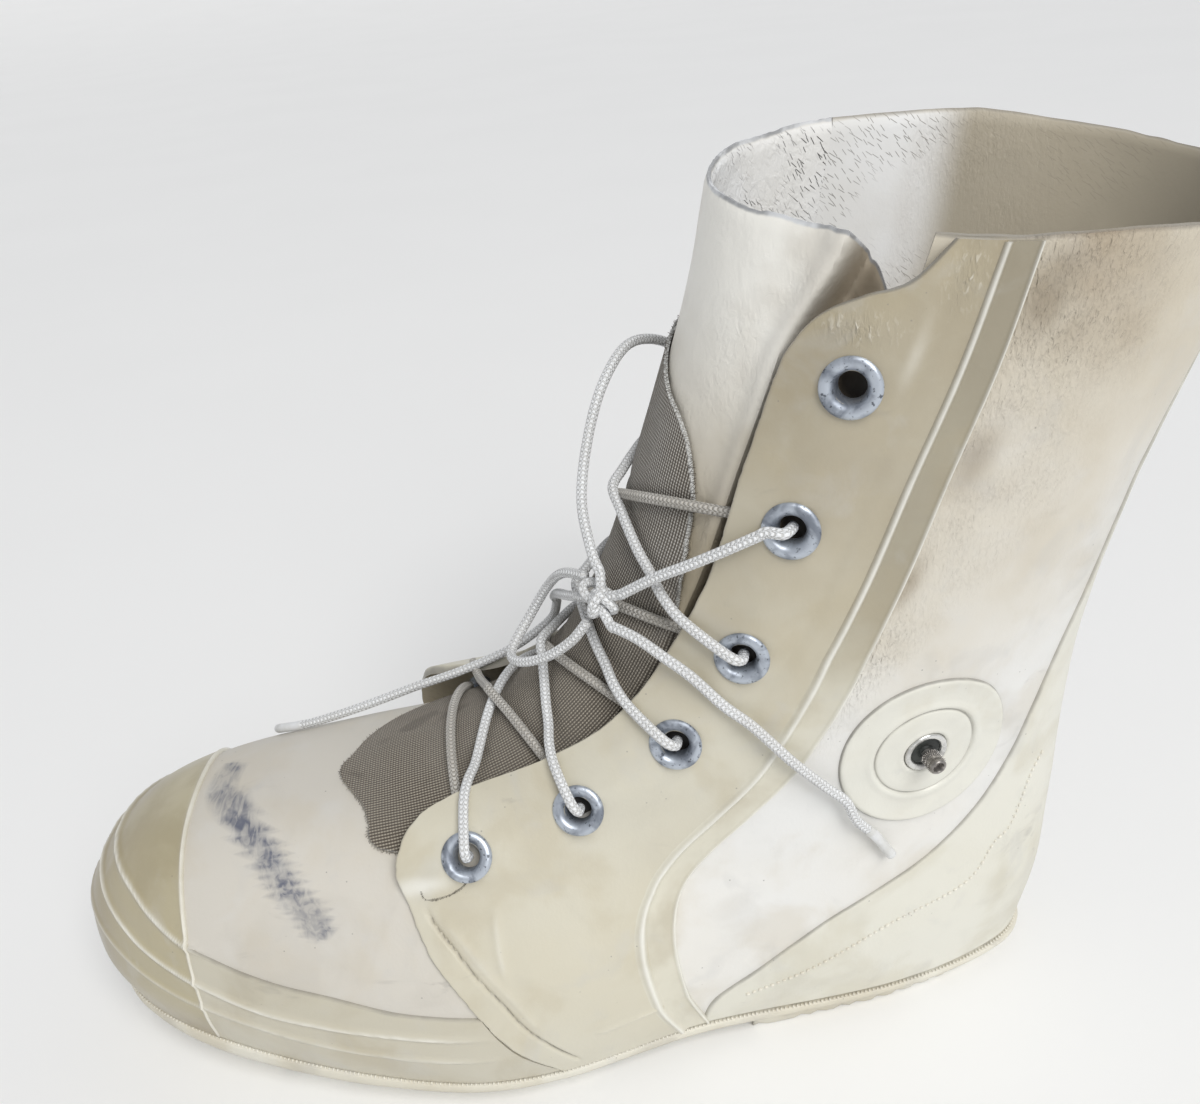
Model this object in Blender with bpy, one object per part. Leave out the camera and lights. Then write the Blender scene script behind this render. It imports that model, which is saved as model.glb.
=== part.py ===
"""Insulated rubber cold-weather boot with an air valve, left foot, empty and standing on its sole.

+X is the outer side of the foot, -Y the toe and +Z up. The origin lies on the floor under the heel seat.
Sizes are in millimetres here, and solid() turns them into metres.

The boot's outer form is one function, skin(v, turn, out): v runs from the sole's edge (0) to the collar
(11), one whole number for each row of SECTIONS, and turn runs round the boot from the toe over the outer
side, the heel and the inner side. out is a distance along the surface's own normal. The upper, every
overlay, the gusset and the tongue are plates between two such skins.
"""

import math
from collections import namedtuple

import bmesh
import bpy
import numpy as np
from mathutils import Matrix, Vector

MM = 0.001
GAP = 0.3                       # clearance between neighbouring pieces

# ---------------------------------------------------------------- driving sizes
FOXING_PROUD = 1.8
CAP_PROUD = 2.2
COUNTER_PROUD = 1.8
FLAP_THICK = 3.0
FLAP_LIFT = 3.2                 # the laced edge of a flap stands off the tongue
STRIP_PROUD = 2.6
GUSSET_THICK = 3.0
FABRIC_THICK = 1.8
THROAT_V = 5.0                  # the throat's lower end
THROAT_TURN = 66.0              # and its half width, in degrees of turn
COLLAR_V = 11.0
CAP_BACK_Y = -240.0             # straight back edge of the toe cap
SOLE_LIP = 1.8                  # the sole's edge stands out past the upper
SOLE_TUCK = 6.0                 # and its foot is tucked in under the ball and toe
HEEL_TUCK = 2.0
HEEL_BREAST_Y = -54.0
HEEL_LIP = 0.8                  # a little more round the back of the heel
INSOLE_THICK = 4.0
EYELET_RADIUS = 7.9
EYELET_BORE = 3.7
EYELET_BARREL = 4.4
EYELET_HOLE = 4.9
EYELET_SIDES = 10
LACE_RADIUS = 1.6
VALVE_AT = (4.9, 121.5)         # v and turn of the valve's centre
PATCH_RADIUS = 28.0
PATCH_THICK = 1.2

Section = namedtuple(
    "Section",
    "front_y front_z side_z back_y back_z ball_half heel_half front_power back_power lean tilt wall",
)
SECTIONS = {
    "sole edge":   Section(-286, 26, 13, 52, 9, 66, 46, 0.80, 0.74, 0, 0, 8.0),
    "bumper":      Section(-290, 44, 31, 57, 45, 68, 49, 0.80, 0.76, 0, 0, 8.0),
    "toe crown":   Section(-284, 68, 56, 58, 70, 65, 48, 0.82, 0.78, 0, 0, 8.0),
    "toe top":     Section(-262, 88, 74, 58, 92, 57, 46, 0.86, 0.80, 0, 0, 8.0),
    "vamp":        Section(-224, 100, 88, 58, 112, 50, 45, 0.92, 0.82, 0, 0, 8.0),
    "instep":      Section(-178, 107, 104, 59, 132, 45, 44, 1.00, 0.84, 0, 0, 7.5),
    "tongue foot": Section(-138, 119, 122, 61, 152, 43, 44, 1.00, 0.86, 0, 0, 6.5),
    "ankle":       Section(-108, 142, 147, 65, 174, 42, 45, 1.00, 0.88, -1, 0, 5.5),
    "low shaft":   Section(-87, 176, 178, 71, 198, 44, 48, 1.00, 0.90, -3, 0, 4.5),
    "shaft":       Section(-72, 214, 212, 80, 222, 48, 51, 1.00, 0.92, -6, 1, 4.0),
    "top shaft":   Section(-60, 248, 244, 89, 246, 51, 55, 0.95, 0.94, -9, 3, 3.6),
    "collar":      Section(-51, 281, 276, 96, 268, 55, 59, 0.90, 0.95, -12, 6, 3.2),
}
COLUMNS = {name: np.array([getattr(row, name) for row in SECTIONS.values()], float) for name in Section._fields}

SIDES = ((1, "lateral"), (-1, "medial"))

# where the upper's rings and columns stand; overlays share them, so that their facets run parallel
RING_V = [0, 0.5, 1, 1.5, 2, 2.5, 3, 3.5, 4, 4.5, 5, 5.5, 6, 6.75, 7.5, 8.25, 9, 10, 11]
SIDE_TURN = [11, 22, 33, 44, 55, 66, 77, 87, 98, 110, 123, 137, 151, 165]
RING_TURN = [0] + SIDE_TURN + [180] + [360 - turn for turn in reversed(SIDE_TURN)]

# eyelets of one flap, from the toe up: v and turn
EYELETS = [(4.27, 61.4), (5.29, 62.5), (6.5, 61.7), (7.53, 61.8), (8.64, 60), (9.82, 60.4)]

# laced flap with its side panel, from the sole to the collar: v, the front edge and the back edge
FLAP_EDGES = [
    (0.12, 85.5, 101), (1.2, 81, 97.5), (1.9, 78, 96), (3.0, 71, 93.5), (3.4, 65, 92), (3.8, 58, 90.5),
    (4.2, 52, 89), (4.5, 47.5, 87.5), (4.8, 43.5, 86.5), (5.1, 41, 85.5), (5.5, 40, 84), (6.0, 41, 81.5),
    (6.6, 44, 79.5), (7.4, 45, 77.5), (8.2, 46.5, 77), (9.0, 45.5, 77), (9.8, 45, 76.5), (10.1, 46.5, 76),
    (10.35, 50.5, 76), (10.52, 57, 76), (10.7, 65, 76), (11.3, 73.5, 76),
]
# raised strip behind the panel: v, its front edge and its back edge
STRIP_EDGES = [
    (0.12, 102, 106), (1.0, 99.4, 102.5), (2.0, 97.0, 100.5), (3.2, 94.2, 98.7), (4.4, 89.3, 96.0),
    (5.4, 85.6, 93.0), (6.3, 81.8, 89.0), (7.4, 78.6, 87.0), (9.0, 78.2, 86.0), (11.3, 77.4, 82.5),
]
# foxing round the ball of the foot: v, its front edge and its back edge
FOXING_EDGES = [(0.12, 34, 84.5), (1.2, 34, 80), (1.8, 34, 77.5)]
# heel counter, running up into the back stay: v and its front edge
COUNTER_EDGES = [
    (0.12, 108), (0.6, 109), (1.4, 116), (1.8, 125), (2.1, 133), (2.5, 140), (3.3, 146), (4.2, 149),
    (5.4, 151), (7.0, 155), (9.0, 159), (11.3, 161),
]
# fabric panel over the tongue: v, its inner-side edge and its outer-side edge
FABRIC_EDGES = [
    (4.72, -52, 52), (5.5, -56, 56), (6.5, -57, 56), (7.5, -57, 50), (8.4, -57, 36), (9.0, -56, 26),
    (9.4, -52, 10), (9.75, -40, -14),
]

# ---------------------------------------------------------------- the boot's form


def ease(value):
    """Smooth step from 0 to 1."""
    value = np.clip(value, 0.0, 1.0)
    return value * value * (3.0 - 2.0 * value)


def column_at(name, v):
    """One column of SECTIONS at v, on a smooth curve through its rows."""
    values = COLUMNS[name]
    slopes = np.gradient(values)
    row = np.clip(np.floor(v).astype(int), 0, len(values) - 2)
    part = v - row
    square, cube = part ** 2, part ** 3
    return ((2 * cube - 3 * square + 1) * values[row] + (cube - 2 * square + part) * slopes[row]
            + (3 * square - 2 * cube) * values[row + 1] + (cube - square) * slopes[row + 1])


def form(v, turn):
    """Points of the outer form, for arrays v and turn, with turn in degrees."""
    v, turn = np.broadcast_arrays(np.asarray(v, float), np.asarray(turn, float))
    over = v - np.clip(v, 0.0, COLLAR_V)
    v = np.clip(v, 0.0, COLLAR_V)
    col = {name: column_at(name, v) for name in Section._fields}
    along, across = -np.cos(np.radians(turn)), np.sin(np.radians(turn))
    y = col["front_y"] + (col["back_y"] - col["front_y"]) * (1 + along) / 2
    foot = 1 - ease((v - 3) / 3)
    # the inner ball stands further forward than the outer one, and the arch starts sooner behind it
    heelward = ease((y + np.where(across < 0, 178, 160)) / 150)
    half = col["ball_half"] * (1 - heelward) + col["heel_half"] * heelward
    half = half - foot * np.where(across < 0, 6.5, 5.0) * np.exp(-(((y + 75) / 34) ** 2))
    power = 1 + (col["front_power"] - 1) * ease(0.2 - along) + (col["back_power"] - 1) * ease(0.2 + along)
    swing = -9 * ease((-150 - y) / 150) + 2 * ease((y + 120) / 60) * ease((40 - y) / 60)
    x = np.sign(across) * half * np.abs(across) ** power + foot * swing + col["lean"]
    z = col["side_z"] + (col["front_z"] - col["side_z"]) * ease(-along)
    z = z + (col["back_z"] - col["side_z"]) * ease(along) - col["tilt"] * across
    # past the first and last rows the form runs straight on
    return np.stack([x, y, z + over * 35.0], -1)


def normals(v, turn):
    """Outward unit normals of the form."""
    v, turn = np.broadcast_arrays(np.asarray(v, float), np.asarray(turn, float))
    low, high = np.clip(v - 0.02, 0, COLLAR_V), np.clip(v + 0.02, 0, COLLAR_V)
    low = np.minimum(low, COLLAR_V - 0.04)
    high = np.maximum(high, 0.04)
    upward = form(high, turn) - form(low, turn)
    round_ = form(v, turn + 0.3) - form(v, turn - 0.3)
    out = np.cross(round_, upward)
    return out / np.linalg.norm(out, axis=-1, keepdims=True)


def skin(v, turn, out=0.0):
    """Points that stand a distance out from the form."""
    return form(v, turn) + normals(v, turn) * np.asarray(out, float)[..., None]


def wall(v):
    """Thickness of the upper: padded round the foot and thin at the collar."""
    return column_at("wall", np.clip(np.asarray(v, float), 0.0, COLLAR_V))


# ---------------------------------------------------------------- solids


def finish(name, colour, roughness, metallic=0.0):
    """A plain material."""
    mat = bpy.data.materials.new(name)
    mat.use_nodes = True
    shader = mat.node_tree.nodes["Principled BSDF"]
    shader.inputs["Base Color"].default_value = (*colour, 1.0)
    shader.inputs["Roughness"].default_value = roughness
    shader.inputs["Metallic"].default_value = metallic
    return mat


def solid(name, points, faces, mat=None, cutter=False):
    """A mesh object from points in millimetres, with its faces turned outward."""
    mesh = bpy.data.meshes.new(name)
    mesh.from_pydata([Vector(p) * MM for p in np.asarray(points, float)], [], [tuple(f) for f in faces])
    work = bmesh.new()
    work.from_mesh(mesh)
    bmesh.ops.recalc_face_normals(work, faces=work.faces)
    work.to_mesh(mesh)
    work.free()
    obj = bpy.data.objects.new(name, mesh)
    bpy.context.collection.objects.link(obj)
    if mat:
        mesh.materials.append(mat)
    if cutter:
        obj.hide_render = True
        obj.display_type = "WIRE"
    return obj


def boolean(obj, other, operation):
    """Adds an exact Boolean with a cutter, which stays in the file as a guide."""
    mod = obj.modifiers.new(operation.lower(), "BOOLEAN")
    mod.operation = operation
    mod.object = other
    mod.solver = "EXACT"


def plate_faces(rows, cols, closed, keep):
    """Faces of a plate with an outer and an inner grid: both skins, and a wall along each open edge."""
    span = cols if closed else cols - 1
    inner = rows * cols
    tops, used = [], {}
    for i in range(rows - 1):
        for j in range(span):
            if keep is not None and not keep(i, j):
                continue
            k = (j + 1) % cols
            a, b, c, d = i * cols + j, i * cols + k, (i + 1) * cols + k, (i + 1) * cols + j
            # the same diagonal on every skin, so that stacked plates stay parallel
            tops += [(a, b, c), (a, c, d)]
            for edge in ((a, b), (b, c), (c, d), (d, a)):
                used[edge] = True
    faces = list(tops) + [tuple(inner + p for p in reversed(face)) for face in tops]
    faces += [(b, a, inner + a, inner + b) for a, b in used if (b, a) not in used]
    return faces


def plate(name, v, turn, low, high, mat=None, closed=False, keep=None, cutter=False):
    """A plate between the skins low and high, over a grid of v and turn."""
    v, turn, low, high = np.broadcast_arrays(v, turn, low, high)
    rows, cols = v.shape
    points = np.concatenate([skin(v, turn, high).reshape(-1, 3), skin(v, turn, low).reshape(-1, 3)])
    faces = plate_faces(rows, cols, closed, keep)
    used = sorted({p for face in faces for p in face})
    place = {p: k for k, p in enumerate(used)}
    return solid(name, points[used], [[place[p] for p in face] for face in faces], mat, cutter)


def blank(name, first, last, top, low, high, mat):
    """A plate on the upper's own rings, up to top, and on its columns from first to last."""
    rings = [v for v in RING_V if v <= top]
    turns = [turn for turn in range(math.ceil(first), math.floor(last) + 1) if turn % 360 in RING_TURN]
    if callable(low):
        low, high = low(turns), high + low(turns)
    return plate(name, np.array(rings, float)[:, None], np.array(turns, float)[None, :], low, high, mat)


def trim(obj, table, steps=4):
    """Trims a blank to the outline that a table of edges gives."""
    table = np.array(table, float)
    v = table[:, 0][:, None]
    part = np.linspace(0, 1, steps + 1)[None, :]
    turn = table[:, 1][:, None] * (1 - part) + table[:, 2][:, None] * part
    guide = plate(obj.name + "_outline", v, turn, -7.0, 15.0, cutter=True)
    boolean(obj, guide, "INTERSECT")


def mirrored(table):
    """An outline of the outer side, for the inner side."""
    return [(row[0], -row[2], -row[1]) for row in table]


# ---------------------------------------------------------------- upper, overlays and tongue


def build_upper(mats):
    """The vamp, quarters and shaft as one hollow wall, open at the collar, the throat and underneath."""
    v = np.array(RING_V, float)[:, None]
    turn = np.array(RING_TURN, float)[None, :]
    v, turn = np.broadcast_arrays(v, turn)

    def keep(i, j):
        middle = (RING_TURN[j] + (RING_TURN + [360])[j + 1]) / 2
        in_throat = middle < THROAT_TURN or middle > 360 - THROAT_TURN
        return not (in_throat and RING_V[i] >= THROAT_V)

    return plate("upper", v, turn, -wall(v), np.zeros_like(v), mats["shaft"], closed=True, keep=keep)


def lift(turns):
    """How far the inside of a flap stands off: flat on the quarter, free past its laced edge."""
    return GAP + FLAP_LIFT * ease((78 - np.abs(np.array(turns, float))) / 18)


def sided(side, first, last):
    """A stretch of turn on one side, with its ends in rising order."""
    return (first, last) if side > 0 else (-last, -first)


def build_flap(side, mats):
    """One eyelet flap with the side panel that carries it down to the sole."""
    name = "eyestay_lateral" if side > 0 else "eyestay_medial"
    obj = blank(name, *sided(side, 33, 110), COLLAR_V, lift, FLAP_THICK, mats["panel"])
    trim(obj, FLAP_EDGES if side > 0 else mirrored(FLAP_EDGES), 3)
    for k, (v, at) in enumerate(EYELETS):
        through = [(EYELET_HOLE, -9), (EYELET_HOLE, 9)]
        hole = turned(f"{name}_hole_{k + 1}", through, v, side * at, 0.0, EYELET_SIDES, cutter=True)
        boolean(obj, hole, "DIFFERENCE")


def build_overlays(mats):
    """The toe cap, foxing, strips and heel counter, each trimmed from a plate on the upper's own grid."""
    cap = blank("toe_cap", -55, 55, 4, GAP, GAP + CAP_PROUD, mats["foxing"])
    boolean(cap, box("toe_cap_cut", (-90, -330, 15), (90, CAP_BACK_Y, 120)), "INTERSECT")
    for side, label in SIDES:
        foxing = blank(f"foxing_{label}", *sided(side, 33, 87), 2, GAP, GAP + FOXING_PROUD, mats["foxing"])
        trim(foxing, FOXING_EDGES if side > 0 else mirrored(FOXING_EDGES))
        behind_cap = box(f"foxing_{label}_cut", (-90, CAP_BACK_Y + 2 * GAP, 5), (90, -60, 120))
        boolean(foxing, behind_cap, "INTERSECT")
        columns = sided(side, 77, 110)
        strip = blank(f"quarter_strip_{label}", *columns, COLLAR_V, GAP, GAP + STRIP_PROUD, mats["panel"])
        trim(strip, STRIP_EDGES if side > 0 else mirrored(STRIP_EDGES), 2)
    counter = blank("heel_counter", 98, 262, COLLAR_V, GAP, GAP + COUNTER_PROUD, mats["foxing"])
    trim(counter, [(v, edge, 360 - edge) for v, edge in COUNTER_EDGES], 8)


def pleat(v, turn):
    """How far the gusset sinks on the outer side, behind its folded edge."""
    shaft = ease((v - 6.0) / 2.5)
    crest = 1.5 * np.exp(-(((turn - 36) / 5) ** 2))
    fold = -6.5 * ease((turn - 41) / 11)
    return shaft * (crest + fold)


def build_tongue(mats):
    """The folded gusset that fills the throat, and the fabric panel bonded over it."""
    margin = THROAT_TURN - 1.5
    turn = np.array([-margin, *range(-55, 56, 11), margin])[None, :]
    top = COLLAR_V - 0.9 * ease((turn - 44) / 22)
    part = np.linspace(0, 1, 12)[:, None]
    start = THROAT_V + 0.06
    v = start + (top - start) * part
    turn = np.broadcast_to(turn, v.shape)
    sink = pleat(v, turn)
    plate("gusset", v, turn, sink - GUSSET_THICK, sink, mats["gusset"])
    rings = [v for v in RING_V if 4.5 <= v <= 10]
    grid_v, grid_turn = np.meshgrid(rings, np.arange(-66, 67, 11), indexing="ij")
    low = GAP + 0.3 + np.maximum(pleat(grid_v, grid_turn), 0)
    fabric = plate("tongue", grid_v, grid_turn, low, low + FABRIC_THICK, mats["fabric"])
    trim(fabric, FABRIC_EDGES, 8)


# ---------------------------------------------------------------- sole and insole


def box(name, low, high):
    """A box-shaped cutter."""
    points = [(x, y, z) for x in (low[0], high[0]) for y in (low[1], high[1]) for z in (low[2], high[2])]
    faces = [(0, 1, 3, 2), (4, 6, 7, 5), (0, 4, 5, 1), (2, 3, 7, 6), (0, 2, 6, 4), (1, 5, 7, 3)]
    return solid(name, points, faces, cutter=True)


def loft(name, rings, mat, cutter=False, ladder=False):
    """A solid through closed rings of equal length. Ends are flat, or ladders of planks across the foot."""
    count = len(rings[0])
    last = count * (len(rings) - 1)
    if ladder:
        planks = [(k, k + 1, (count - k - 1) % count, (count - k) % count) for k in range(count // 2)]
        planks = [tuple(dict.fromkeys(plank)) for plank in planks]
    else:
        planks = [tuple(range(count))]
    faces = [plank[::-1] for plank in planks] + [tuple(last + p for p in plank) for plank in planks]
    for i in range(len(rings) - 1):
        for j in range(count):
            k = (j + 1) % count
            a, b, c, d = i * count + j, i * count + k, (i + 1) * count + k, (i + 1) * count + j
            faces += [(a, b, c), (a, c, d)]
    return solid(name, np.concatenate(rings), faces, mat, cutter)


def toe_spring(y):
    """Height of the sole's underside over the floor, towards the toe."""
    return 11.0 * ease((-232 - y) / 62) ** 1.3


def build_sole(mats):
    """The moulded outsole: a lipped slab with toe spring and arch, a heel block and tread grooves."""
    turn = np.array(RING_TURN, float)
    edge = form(0.0, turn)
    out = normals(0.0, turn)
    out[:, 2] = 0
    out /= np.linalg.norm(out, axis=1, keepdims=True)
    lip = SOLE_LIP + HEEL_LIP * ease((edge[:, 1] - 20) / 30)
    floor = toe_spring(edge[:, 1])
    top = edge[:, 2] - GAP
    tuck = HEEL_TUCK + SOLE_TUCK * ease((-60 - edge[:, 1]) / 60) + HEEL_TUCK * ease((edge[:, 1] - 20) / 30)
    rings = []
    for level, spread, tucked in ((1.0, 0, 0), (0.92, 1, 0), (0.72, 1, 0), (0.62, 0, 0.3), (0.0, 0, 1)):
        ring = edge + out * (lip * spread - tuck * tucked)[:, None]
        ring[:, 2] = floor + (top - floor) * level
        rings.append(ring)
    rings.reverse()
    sole = loft("outsole", rings, mats["sole"], ladder=True)
    waist = box("arch_cut", (-80, -109, -5), (80, HEEL_BREAST_Y, 5.0))
    boolean(sole, waist, "DIFFERENCE")
    for k, y in enumerate([-222, -204, -186, -168, -150, -132, -28, -8, 12]):
        wide = 44 if y < -100 else 27
        groove = box(f"tread_groove_{k + 1}", (-wide, y - 2.5, -3), (wide, y + 2.5, 3.0))
        boolean(sole, groove, "DIFFERENCE")


def build_insole(mats):
    """A flat liner board on the sole, inside the upper."""
    turn = np.array(RING_TURN, float)
    inner = skin(0.0, turn, -wall(0.0) - 3.0)
    rim = skin(0.5, turn, -wall(0.5) - 1.0)
    base = form(0.0, turn)[:, 2] + GAP
    rings = []
    for rise in (0.0, INSOLE_THICK):
        ring = inner.copy()
        ring[:, :2] = inner[:, :2] * 0.9 + rim[:, :2] * 0.1
        ring[:, 2] = base + rise
        rings.append(ring)
    loft("insole", rings, mats["liner"], ladder=True)


# ---------------------------------------------------------------- eyelets and valve


def stand(v, turn, out=0.0):
    """A point of a skin, its normal and two directions across it, the second one up the boot."""
    at = skin(np.array(v), np.array(turn), np.array(out))
    normal = Vector(normals(np.array(v), np.array(turn)))
    up = Vector(form(np.array(v + 0.1), np.array(turn)) - form(np.array(v - 0.1), np.array(turn)))
    up = (up - normal * up.dot(normal)).normalized()
    return Vector(at), normal, up.cross(normal), up


def nearest(place, v, turn):
    """The v and turn of the form's point nearest to a place, searched from a first guess."""
    for _ in range(20):
        here = Vector(form(np.array(v), np.array(turn)))
        by_v = (Vector(form(np.array(v + 0.01), np.array(turn))) - here) / 0.01
        by_turn = (Vector(form(np.array(v), np.array(turn + 0.1))) - here) / 0.1
        miss = place - here
        system = Matrix(((by_v.dot(by_v), by_v.dot(by_turn)), (by_v.dot(by_turn), by_turn.dot(by_turn))))
        step = system.inverted() @ Vector((miss.dot(by_v), miss.dot(by_turn)))
        v = min(max(v + max(-0.5, min(0.5, step[0])), 0.0), COLLAR_V - 0.02)
        turn += max(-12.0, min(12.0, step[1]))
    return v, turn


def turned(name, profile, v, turn, out, count, mat=None, cutter=False, loop=False):
    """A turned piece whose axis is the form's normal. profile holds radius and height, from one end on."""
    at, normal, side, up = stand(v, turn, out)
    points, faces = [], []
    for radius, height in profile:
        for k in range(count):
            angle = 2 * math.pi * k / count
            points.append(at + normal * height + (side * math.cos(angle) + up * math.sin(angle)) * radius)
    rings = len(profile)
    pairs = [(i, i + 1) for i in range(rings - 1)] + ([(rings - 1, 0)] if loop else [])
    for i, nxt in pairs:
        for k in range(count):
            m = (k + 1) % count
            faces.append((i * count + k, i * count + m, nxt * count + m, nxt * count + k))
    if not loop:
        faces += [tuple(range(count))[::-1], tuple(range(count * (rings - 1), count * rings))]
    return solid(name, points, faces, mat, cutter)


def build_eyelets(mats):
    """Twelve rolled metal eyelets, six to a flap: a flange on the flap and a barrel through it."""
    for side, label in SIDES:
        for k, (v, turn) in enumerate(EYELETS):
            name = f"eyelet_{label}_{k + 1}"
            seat = float(lift(turn)) + FLAP_THICK + 0.5
            profile = [
                (EYELET_BORE, -FLAP_THICK - 0.4), (EYELET_BARREL, -FLAP_THICK - 0.4), (EYELET_BARREL, 0.0),
                (EYELET_RADIUS, 0.0), (EYELET_RADIUS - 2.0, 1.5), (EYELET_BORE, 0.9),
            ]
            turned(name, profile, v, side * turn, seat, EYELET_SIDES, mats["metal"], loop=True)


def patch_points(radius, out, count):
    """A circle of the given radius round the valve, laid on a skin."""
    at, normal, side, up = stand(*VALVE_AT, 0.0)
    points = []
    for k in range(count):
        angle = 2 * math.pi * k / count
        v, turn = nearest(at + (side * math.cos(angle) + up * math.sin(angle)) * radius, *VALVE_AT)
        points.append(skin(np.array(v), np.array(turn), np.array(out)))
    return points


def build_valve(mats):
    """The round valve patch, the valve's metal body sunk in it, and the knurled screw cap."""
    count = 24
    low, high = GAP + 0.5, GAP + 0.5 + PATCH_THICK
    radii = [7.4, 17.0, PATCH_RADIUS]
    points, faces = [], []
    rings = [(r, low) for r in radii] + [(r, high) for r in reversed(radii)]
    for radius, out in rings:
        points += patch_points(radius, out, count)
    for i in range(len(rings)):
        nxt = (i + 1) % len(rings)
        for k in range(count):
            m = (k + 1) % count
            faces.append((i * count + k, i * count + m, nxt * count + m, nxt * count + k))
    solid("valve_patch", points, faces, mats["panel"])
    seat = GAP + 0.7
    body = [(2.4, 0.0), (6.9, 0.0), (6.9, 1.6), (5.6, 2.2), (4.0, 1.0), (2.4, 1.0)]
    turned("valve_body", body, *VALVE_AT, seat, 16, mats["metal"], loop=True)
    cap = [(1.9, 0.3), (1.9, 1.8), (2.9, 1.8), (2.9, 8.6), (2.3, 9.2)]
    turned("valve_cap", cap, *VALVE_AT, seat, 12, mats["dark metal"])


# ---------------------------------------------------------------- lace


def route(points, count):
    """A smooth curve through places given as v, turn and distance out."""
    places = [Vector(skin(np.array(v), np.array(turn), np.array(out))) for v, turn, out in points]
    ends = [places[0] * 2 - places[1]] + places + [places[-1] * 2 - places[-2]]
    curve = []
    for k in range(count):
        at = k / (count - 1) * (len(places) - 1)
        i = min(int(at), len(places) - 2)
        part = at - i
        a, b, c, d = ends[i:i + 4]
        curve.append(0.5 * (2 * b + (c - a) * part + (2 * a - 5 * b + 4 * c - d) * part ** 2
                            + (3 * b - a - 3 * c + d) * part ** 3))
    return curve


def cord(name, places, mat, radius=LACE_RADIUS):
    """A round cord along places in millimetres."""
    data = bpy.data.curves.new(name, "CURVE")
    data.dimensions = "3D"
    data.bevel_depth = radius * MM
    data.bevel_resolution = 1
    data.use_fill_caps = True
    line = data.splines.new("POLY")
    line.points.add(len(places) - 1)
    for point, place in zip(line.points, places):
        point.co = (*(place * MM), 1.0)
    data.materials.append(mat)
    obj = bpy.data.objects.new(name, data)
    bpy.context.collection.objects.link(obj)
    return obj


def tube(name, places, mat, radius=LACE_RADIUS, count=6, cutter=False):
    """A closed tube mesh along places, for strands that are joined."""
    rings = []
    side = None
    for k, place in enumerate(places):
        ahead = (places[min(k + 1, len(places) - 1)] - places[max(k - 1, 0)]).normalized()
        side = ahead.cross(Vector((1, 0.3, 0.2))).normalized() if side is None else side
        side = (side - ahead * side.dot(ahead)).normalized()
        other = ahead.cross(side)
        angles = [2 * math.pi * j / count for j in range(count)]
        rings.append(np.array([place + (side * math.cos(a) + other * math.sin(a)) * radius for a in angles]))
    return loft(name, rings, mat, cutter)


CROSS_OUT = 5.6                 # a crossing strand's middle over the form, clear of the tongue's fabric
CROSS_TURN = 33.0               # strands are cut short here, clear of the flaps

# lengths of lace that lie free: v, turn and distance out, from the knot or the eyelet on
KNOT_AT = (7.75, 22, 10.5)
KNOT_HALF = (6.0, 4.2, 3.6)
STRAND_LATERAL = [(8.6, 54.5, 10.0), (8.47, 49.5, 11.2), (8.3, 43, 11.5), (8.12, 36, 11.4), (7.88, 28.5, 10.8)]
STRAND_MEDIAL = [(8.6, -50, 9.8), (8.9, -47, 11.2), (9.15, -41, 12.5), (9.3, -31, 14.5), (9.3, -21, 16.5),
                 (9.05, -12, 17.5), (8.7, -5, 17.0), (8.35, 4, 15.5), (8.08, 14, 12.8), (7.95, 20, 11.4)]
BOW_LOOP = [(7.86, 15, 12.0), (7.72, 5, 13.2), (7.45, -3, 13.5), (7.05, -5.5, 13.0), (6.75, 2, 12.5),
            (6.8, 10, 12.5), (7.05, 17, 12.0), (7.32, 21, 11.5), (7.55, 22.5, 11.0)]
END_LATERAL = [(7.62, 30, 11.0), (7.6, 38, 11.0), (7.5, 46, 10.6), (7.35, 54, 10.0), (7.05, 64, 8.8),
               (6.75, 73, 6.9), (6.2, 86, 5.6), (5.5, 99, 4.2), (4.75, 109, 4.4), (4.0, 116, 4.4),
               (3.3, 122, 3.3), (2.65, 126.5, 3.0)]
END_MEDIAL = [(7.66, 14, 10.6), (7.55, 6, 9.7), (7.42, -3, 9.5), (7.2, -14, 9.6), (6.9, -26, 10.0),
              (6.4, -36, 10.4), (5.8, -38, 9.8), (5.3, -36.5, 9.0), (4.88, -35, 8.4), (4.5, -33, 5.6),
              (4.15, -31, 2.9), (3.9, -31, 2.2), (3.65, -32.5, 2.2), (3.4, -36, 2.2)]


def strand(start, end, out, count=8):
    """A strand pulled straight across the tongue from one eyelet to another, between the flaps."""
    levels = np.linspace(4.0, COLLAR_V - 0.1, 300)
    first, last = form(*start), form(*end)
    middle = (start[0] + end[0]) / 2 + 0.9
    cut = np.cross(last - first, normals(middle, 0.0))
    turns = np.linspace(CROSS_TURN, -CROSS_TURN, count) * math.copysign(1, start[1])
    places = []
    for turn in turns:
        off = (form(levels, turn) - first) @ cut
        order = np.argsort(off)
        places.append(Vector(skin(np.interp(0.0, off[order], levels[order]), turn, out)))
    return places


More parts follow.
